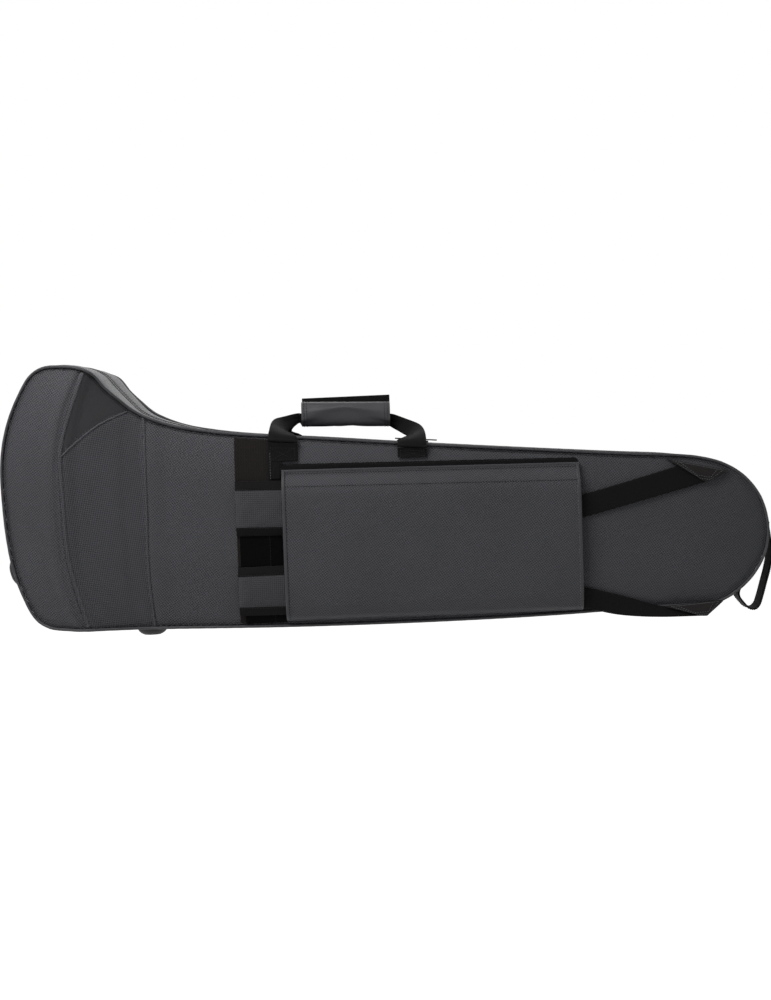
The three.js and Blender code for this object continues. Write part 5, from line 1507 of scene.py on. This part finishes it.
# How far below the grip's middle line the folded band enters it from each leg, and turns in it
BELL_DROP, SLIDE_DROP, TURN_DROP = 7.6, 6.0, 6.0
# Where the grip's flap is sewn on and where it ends, as shares of a turn
FLAP_SEWN, FLAP_FREE = 0.26, 0.665


def loop_half(x, way, run, drop):
    """Stations of one half of a loop: its middle, half its width as a direction, how far folded."""
    hem, top = hem_place(x), wall_line.high(x)
    inside = GRIP_X - way * GRIP_LENGTH / 2
    reach = WEB_WIDTH / 2
    rows = [(x, -hem[1], hem[2], reach, reach * HEM_LEAN, reach * HEM_SLOPE, 0.0)]
    for outer, inner, folded in run:
        outer, inner = np.array(outer), np.array(inner)
        middle, across = (outer + inner) / 2, (inner - outer) / 2
        rows.append((x + way * middle[0], middle[1], top + middle[2], across[0], way * across[1],
                     way * across[2], folded))
    rows.append((inside, -HANDLE_STANDOFF, grip_z(inside) - drop, 0.0, 0.0, -way * BAND_HALF, 1.0))
    return np.array(rows)


def handle_loop(half, side):
    bell = loop_half(BELL_LEG, 1, BELL_RUN, BELL_DROP)
    slide = loop_half(SLIDE_LEG, -1, SLIDE_RUN, SLIDE_DROP)[::-1]
    turning = [(GRIP_X, -HANDLE_STANDOFF, grip_z(GRIP_X) - TURN_DROP, 0.0, BAND_HALF, 0.0, 1.0)]
    fine = resample(smooth_run(np.concatenate([bell, turning, slide]), 10), 2.4)
    centre, across, folded = fine[:, :3], fine[:, 3:6], np.clip(fine[:, 6:], 0, 1)
    share = rounded_band(WEB_WIDTH / 2, WEB_THICK, 8)[:, 0] / (WEB_WIDTH / 2)
    heights = (1 + 0.5 * folded) * (1 - 0.5 * folded * np.exp(-((share / 0.12) ** 2)))
    centre, across = turned(centre, -side), turned(across, -side)
    shape = ribbon(Shape(), centre, across, WEB_THICK, WEB_WIDTH / 2, heights)
    make(f"{half}_handle_webbing", shape, f"{half}_handle", *BLACK_WEB,
         [f"{half}_handle_loop"], sharp=60)
    hems = Shape()
    for x in (BELL_LEG, SLIDE_LEG):
        way = np.linspace(-0.5, 0.5, 13)[:, None] * WEB_WIDTH * (1, HEM_LEAN, HEM_SLOPE)
        line = hem_place(x) * (1, -1, 1) + way
        swept(hems, turned(line, -side), (0, 0, 1), round_section(HEM_RADIUS, 20))
    make(f"{half}_handle_hems", hems, f"{half}_handle", *BLACK_WEB, sharp=50)


def grip_ring(x, grow, turns):
    c, s = np.cos(turns), np.sin(turns)
    y = -HANDLE_STANDOFF + (GRIP_THICK / 2 + grow) * np.sign(c) * np.abs(c) ** GRIP_ROUND
    z = grip_z(x) + (GRIP_HEIGHT / 2 + grow) * np.sign(s) * np.abs(s) ** GRIP_ROUND
    return np.stack([np.full_like(y, x), y, z], -1)


def grip():
    turns = np.linspace(0, 2 * math.pi, 65)[:-1]
    grid = []
    for share in np.concatenate([[0, 0.004, 0.012], np.linspace(0.03, 0.97, 40), [0.988, 0.996, 1]]):
        end = min(share, 1 - share)
        grow = -1.6 * math.exp(-end * 260) - 0.5 * math.exp(-((end - 0.036) / 0.01) ** 2)
        grow += 0.4 * math.sin(share * 19)
        grid.append(grip_ring(GRIP_X + (share - 0.5) * GRIP_LENGTH, grow, turns))
    piece = make("grip_roll", Shape().tube(np.array(grid), cap_look=1), "base_handle",
                 [GRIP_CLOTH, BINDING], "shell_fabric", ["grip_wrap"], sharp=50)
    hinge, free = FLAP_SEWN * 2 * math.pi, FLAP_FREE * 2 * math.pi

    def place(u, t, grow):
        """A place on the closing flap, t of the way from its free edge to where it is sewn on."""
        edge = free - (free - hinge) * 0.09 * math.exp(-(((u - 0.5) * 7.0) ** 2))
        crease = 1.5 * math.exp(-((t - 0.47 - 0.2 * (2 * u - 1) ** 2) / 0.09) ** 2)
        turn = np.array([hinge + (edge - hinge) * t])
        return grip_ring(GRIP_X + (u - 0.5) * GRIP_LENGTH, grow + 0.3 + crease, turn)[0]

    flap, threads = Shape(), Shape()
    plate(flap, *(grid_of(lambda u, t: place(u, t, grow), steps(60), steps(32)) for grow in (2.1, 0.0)))
    make("grip_flap_cloth", flap, "grip_cover", GRIP_CLOTH, "shell_fabric", ["grip_flap"],
         bevel=0.6, sharp=50)
    for u in (0.03, 0.062, 0.938, 0.97):
        line = np.array([place(u, t, 2.2) for t in np.linspace(0.02, 0.98, 30)])
        out = line - np.array([[p[0], -HANDLE_STANDOFF, grip_z(p[0])] for p in line])
        row = resample(line, FINE_PITCH)
        ways = np.array([out[np.argmin(((line - p) ** 2).sum(1))] for p in row])
        stitches(threads, row, ways / np.linalg.norm(ways, axis=1, keepdims=True))
    sew("grip_stitches", threads, "grip_cover", "shell_fabric")


def tongue():
    y = -HANDLE_STANDOFF + GRIP_THICK / 2 + TOUCH + TONGUE_THICK / 2

    def place(u, v):
        low = GRIP_Z + GRIP_HEIGHT / 2 + TONGUE_SHOWN + 1.2 * (u - 0.5) - TONGUE_HEIGHT
        return GRIP_X + (u - 0.5) * GRIP_LENGTH, y, low + TONGUE_HEIGHT * v

    middle = grid_of(place, steps(39), steps(11))
    shape = plate(Shape(), *(middle + (0, way * TONGUE_THICK / 2, 0) for way in (-1, 1)))
    make("grip_tongue_pile", shape, "base_handle", HOOK, "hook_and_loop", ["grip_tongue"],
         bevel=0.4, sharp=50)


for half, side in HALVES:
    sewn_leg(half, side, "bell", BELL_LEG)
    sewn_leg(half, side, "slide", SLIDE_LEG)
    handle_loop(half, side)
grip()
tongue()

# Grab handle on the slide end

END_Y, END_WIDTH, END_TOP, END_LOW = -35.0, 34.0, 108.0, 42.0
END_GAP, PATCH_LENGTH = 0.9, 20.0
# Middle line of the slack loop, [x, z], hanging from its upper hem to its lower one
END_RUN = [(458.6, 92), (460.6, 72), (457.6, 54), (452.0, 34), (446.8, 16.5), (443.4, 8.0),
           (438.6, 4.0), (431.8, 5.0), (425.3, 11.5), (419.6, 20.0), (420.2, 28.0), (425.6, 34.5)]


def wall_spot(z):
    """Place on the end wall at a height, and the way straight out of it."""
    spot, low, high = wall_line.slide_end(z + np.array([0, -0.25, 0.25]) * PATCH_LENGTH)
    along = (high - low) / np.linalg.norm(high - low)
    return np.array([spot[0], END_Y, spot[1]]), np.array([along[1], 0, -along[0]])


def end_hem(z):
    spot, out = wall_spot(z)
    return spot + out * (END_GAP + HEM_RADIUS)


def end_patch(name, low, high):
    shape, threads = Shape(), Shape()
    spots = [wall_spot(z) for z in np.linspace(low, high, 9)]
    across = np.linspace(-0.5, 0.5, 11)[:, None] * (0, END_WIDTH, 0)
    plate(shape, *([spot + out * lift + across for spot, out in spots]
                   for lift in (END_GAP + WEB_THICK, END_GAP)))
    make(f"{name}_webbing", shape, "base", *BLACK_WEB, [name], bevel=0.5, sharp=50)
    inset = 3.0
    first, last = low + inset, high - inset
    for start, end in ((first, first), (last, last), (first, last)):
        spots = [wall_spot(start + (end - start) * t) for t in steps(8)]
        line = np.array([spot + out * (END_GAP + WEB_THICK) for spot, out in spots])
        line += np.linspace(-0.5, 0.5, 9)[:, None] * (0, END_WIDTH - 2 * inset, 0)
        stitch_row(threads, resample(line, FINE_PITCH), out=spots[4][1], **BOX_STITCH)
    sew(f"{name}_stitches", threads, "base", "webbing")


def end_handle():
    top, low = end_hem(END_TOP), end_hem(END_LOW)
    run = [tuple(top)] + [(x, END_Y, z) for x, z in END_RUN] + [tuple(low)]
    centre = resample(smooth_run(run, 10), 2.4)
    curl = 0.048 * np.sin(math.pi * steps(len(centre) - 1))
    half = (END_WIDTH / 2 + curl)[:, None] * (0, 1, 0)
    shape, threads = ribbon(Shape(), centre, half, WEB_THICK, END_WIDTH / 2), Shape()
    for hem in (top, low):
        line = hem + np.linspace(-0.5, 0.5, 9)[:, None] * (0, END_WIDTH, 0)
        swept(shape, line, (1, 0, 0), round_section(HEM_RADIUS, 18))
    make("end_handle_webbing", shape, "base", *BLACK_WEB, ["end_handle"], sharp=60)
    out = np.cross(frames_along(centre), (0, 1, 0))
    for way in (-1, 1):
        line = centre + (0, way * (END_WIDTH / 2 - 2.5), 0) + out * (WEB_THICK / 2 + THREAD_LIFT)
        stitches(threads, line[2:-2], out[2:-2])
    sew("end_handle_stitches", threads, "base", "webbing", THREAD_LIGHT)


upper_foot, lower_top = END_TOP + HEM_RADIUS + 2 * TOUCH, END_LOW - HEM_RADIUS - 2 * TOUCH
end_patch("end_handle_patch_upper", upper_foot, upper_foot + PATCH_LENGTH)
end_patch("end_handle_patch_lower", lower_top - PATCH_LENGTH / 2, lower_top)
end_handle()

# Inside

PILE_CELL = 3.5
BIN_CORNER, BIN_SEAM = 4.0, 0.965


def plush_insert(half):
    """The foam of one half under its pile: the block's wells, with every edge rounded over."""
    name = f"{half}_insert"
    mesh = bpy.data.objects[name].data.copy()
    mesh.name = f"{name}_plush"
    mesh.materials.clear()
    mesh.materials.append(PLUSH)
    piece = put_in(f"{name}_plush", mesh)
    cells = piece.modifiers.new("cells", "REMESH")
    cells.mode = "VOXEL"
    cells.voxel_size = PILE_CELL * MM
    cells.use_smooth_shade = True
    soft = piece.modifiers.new("soft", "SMOOTH")
    soft.factor = 0.5
    soft.iterations = 6
    applied(piece)
    ripple_pile(piece)
    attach(piece, half)
    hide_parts(name)


def applied(piece):
    """Leaves the piece with the mesh that its modifiers make."""
    graph = bpy.context.evaluated_depsgraph_get()
    mesh = bpy.data.meshes.new_from_object(piece.evaluated_get(graph))
    piece.modifiers.clear()
    piece.data = mesh


def ripple_pile(piece):
    """Slow dimples in the pile, pressed in by what lay on it."""
    mesh = piece.data
    flat = np.empty(len(mesh.vertices) * 3)
    mesh.vertices.foreach_get("co", flat)
    points = flat.reshape(-1, 3)
    normals = np.array([v.normal[:] for v in mesh.vertices])
    wave = np.sin(points[:, 0] * 71) * np.sin(points[:, 2] * 93 + 1.1) * np.sin(points.sum(1) * 47)
    points -= normals * ((0.35 + 0.35 * wave) * MM)[:, None]
    mesh.vertices.foreach_set("co", points.ravel())
    mesh.update()


def packed_box(name):
    """Low corner, high corner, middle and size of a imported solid, in millimetres."""
    low, high = (np.array(corner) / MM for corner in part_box(name))
    return low, high, (low + high) / 2, high - low


def bin_cover():
    """Thin quilted lid of the accessory bin, crowned on both sides with its edge sewn round."""
    middle, size = packed_box("bin_cover")[2:]
    size = size / 2
    us, vs = np.linspace(-1, 1, 57), np.linspace(-1, 1, 25)

    def corner_in(u, v):
        """Square places drawn in to rounded corners."""
        x, z = u * size[0], v * size[2]
        over = max(0.0, abs(x) - size[0] + BIN_CORNER), max(0.0, abs(z) - size[2] + BIN_CORNER)
        reach = math.hypot(*over)
        if reach > BIN_CORNER:
            x -= math.copysign(over[0] * (1 - BIN_CORNER / reach), x)
            z -= math.copysign(over[1] * (1 - BIN_CORNER / reach), z)
        return middle[0] + x, middle[2] + z

    def place(u, v, way):
        crown = (1 - abs(u) ** 6) * (1 - abs(v) ** 4)
        quilt = 1 - 0.18 * math.exp(-((u * 2.0 - round(u * 2.0)) / 0.06) ** 2)
        x, z = corner_in(u, v)
        return x, middle[1] + way * size[1] * (0.35 + 0.6 * crown * quilt), z

    shape = plate(Shape(), *(grid_of(lambda u, v: place(u, v, way), us, vs) for way in (-1, 1)))
    piece = make("bin_cover_padding", shape, "bin_lid", PLUSH, "plush_lining", ["bin_cover"],
                 bevel=0.5, sharp=50)
    loop = [corner_in(t, -1) for t in us] + [corner_in(1, t) for t in vs]
    loop += [corner_in(-t, 1) for t in us] + [corner_in(-1, -t) for t in vs]
    loop = np.array([(middle[0] + (x - middle[0]) * BIN_SEAM, middle[1] - size[1] * 0.62,
                      middle[2] + (z - middle[2]) * BIN_SEAM) for x, z in loop])
    sew("bin_cover_stitches", stitch_row(Shape(), resample(loop, STITCH_PITCH)), "bin_lid", "plush_lining",
        THREAD_LIGHT)


def slide_retainer(name):
    """Webbing strap over the slide's channel, sewn down at both ends."""
    low, high, middle, size = packed_box(name)
    run = steps(39)
    centre = np.stack([middle[0] + 0 * run, middle[1] + 0.15 * np.sin(run * 9), low[2] + size[2] * run], 1)
    half = np.broadcast_to((size[0] / 2, 0.0, 0.0), centre.shape)
    shape, threads = ribbon(Shape(), centre, half, size[1] - 0.4, size[0] / 2), Shape()
    make(f"{name}_webbing", shape, "lid", *BLACK_WEB, [name], sharp=60)
    for end in (low[2] + 2, high[2] - 12):
        box = [(-9, 0), (9, 0), (9, 10), (-9, 10), (-9, 0), (9, 10)]
        for line in traced(lambda x, z: (middle[0] + x, low[1] + THREAD_LIFT, end + z), box, 2):
            stitch_row(threads, resample(line, FINE_PITCH), **BOX_STITCH)
    sew(f"{name}_stitches", threads, "lid", "webbing", THREAD_LIGHT)


for half, side in HALVES:
    plush_insert(half)
bin_cover()
for name in ("slide_retainer_1", "slide_retainer_2"):
    slide_retainer(name)

# Small hardware


def finished(names, look, soft):
    """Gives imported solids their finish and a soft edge."""
    for name in names:
        piece = bpy.data.objects[name]
        for slot in piece.material_slots:
            slot.material = look
        soften(piece, soft, 30)


finished(["strap_adjuster_upper", "strap_adjuster_lower"], PLASTIC, 0.5)
finished([f"zip_{part}_{end}" for part in ("slider", "pull") for end in ("bell", "slide")], METAL, 0.25)

# Floor, lights and world

# The case hangs over the floor far enough for the lid to swing down to its limit
FLOOR_LEVEL = -345.0
FLOOR_REACH, FLOOR_TONES, FLOOR_GLOW = 6000.0, (0.78, 0.80), 0.87
WORLD_LIGHT = 0.15
# Name, place, aim, size and power
LAMPS = [
    ("key_above", (-0.75, -0.95, 1.35), (-0.15, 0, 0.15), (1.0, 0.7), 20.5),
    ("front_soft", (-1.7, -2.2, 0.7), (-0.1, 0, 0.15), (1.2, 1.2), 5),
    ("right_soft", (2.2, -1.6, 1.0), (0.1, 0, 0.15), (1.2, 1.4), 0.5),
    ("back_soft", (0.4, 2.4, 1.5), (0, 0, 0.2), (2.4, 1.2), 10),
]


def seen_ray(n):
    """1 for the rays that show the surroundings: the camera's, and those that metal or glass sends on."""
    rays = n.add("LightPath").outputs
    seen = n.math("MAXIMUM", rays["Is Camera Ray"], rays["Is Glossy Ray"])
    return n.math("MAXIMUM", seen, rays["Is Transmission Ray"])


def floor():
    mesh = bpy.data.meshes.new("floor")
    corners = [(x, y) for x in (-FLOOR_REACH, FLOOR_REACH) for y in (-FLOOR_REACH, FLOOR_REACH)]
    mesh.from_pydata([(x * MM, y * MM, FLOOR_LEVEL * MM) for x, y in corners], [], [(0, 2, 3, 1)])
    plane = put_in("floor", mesh)
    look, n = new_look("floor_white")
    place = n.add("TexCoord").outputs["Object"]
    tone = n.ramp(n.noise(place, 3.0), *MIDDLE, *FLOOR_TONES)
    colour = n.add("CombineColor", {0: tone, 1: tone, 2: tone}).outputs[0]
    nodes = look.node_tree.nodes
    shader = nodes["Principled BSDF"]
    n.fill(shader.inputs, {"Base Color": colour, "Roughness": 0.9, "Specular IOR Level": 0.1})
    dark, glow = (n.add("Emission", {"Color": (*[tone] * 3, 1), "Strength": strength}).outputs[0]
                  for tone, strength in ((0, 0.0), (1, FLOOR_GLOW)))
    pick = n.add("MixShader", {0: seen_ray(n), 1: dark, 2: glow}).outputs[0]
    both = n.add("AddShader", {0: shader.outputs[0], 1: pick}).outputs[0]
    n.fill(nodes["Material Output"].inputs, {"Surface": both})
    mesh.materials.append(look)


def lamp(name, place, aim, size, power):
    data = bpy.data.lights.new(name, "AREA")
    data.shape = "RECTANGLE"
    data.size, data.size_y = size
    data.energy = power
    light = put_in(name, data)
    light.location = place
    light.rotation_euler = (Vector(aim) - Vector(place)).to_track_quat("-Z", "Y").to_euler()


def studio():
    for values in LAMPS:
        lamp(*values)
    world = bpy.data.worlds.new("studio")
    bpy.context.scene.world = world
    world.use_nodes = True
    n = Nodes(world.node_tree)
    strength = n.math("ADD", n.math("MULTIPLY", seen_ray(n), 1 - WORLD_LIGHT), WORLD_LIGHT)
    n.fill(n.tree.nodes["Background"].inputs, {"Strength": strength, "Color": (1, 1, 1, 1)})


floor()
studio()
bpy.context.scene.view_settings.view_transform = "Standard"
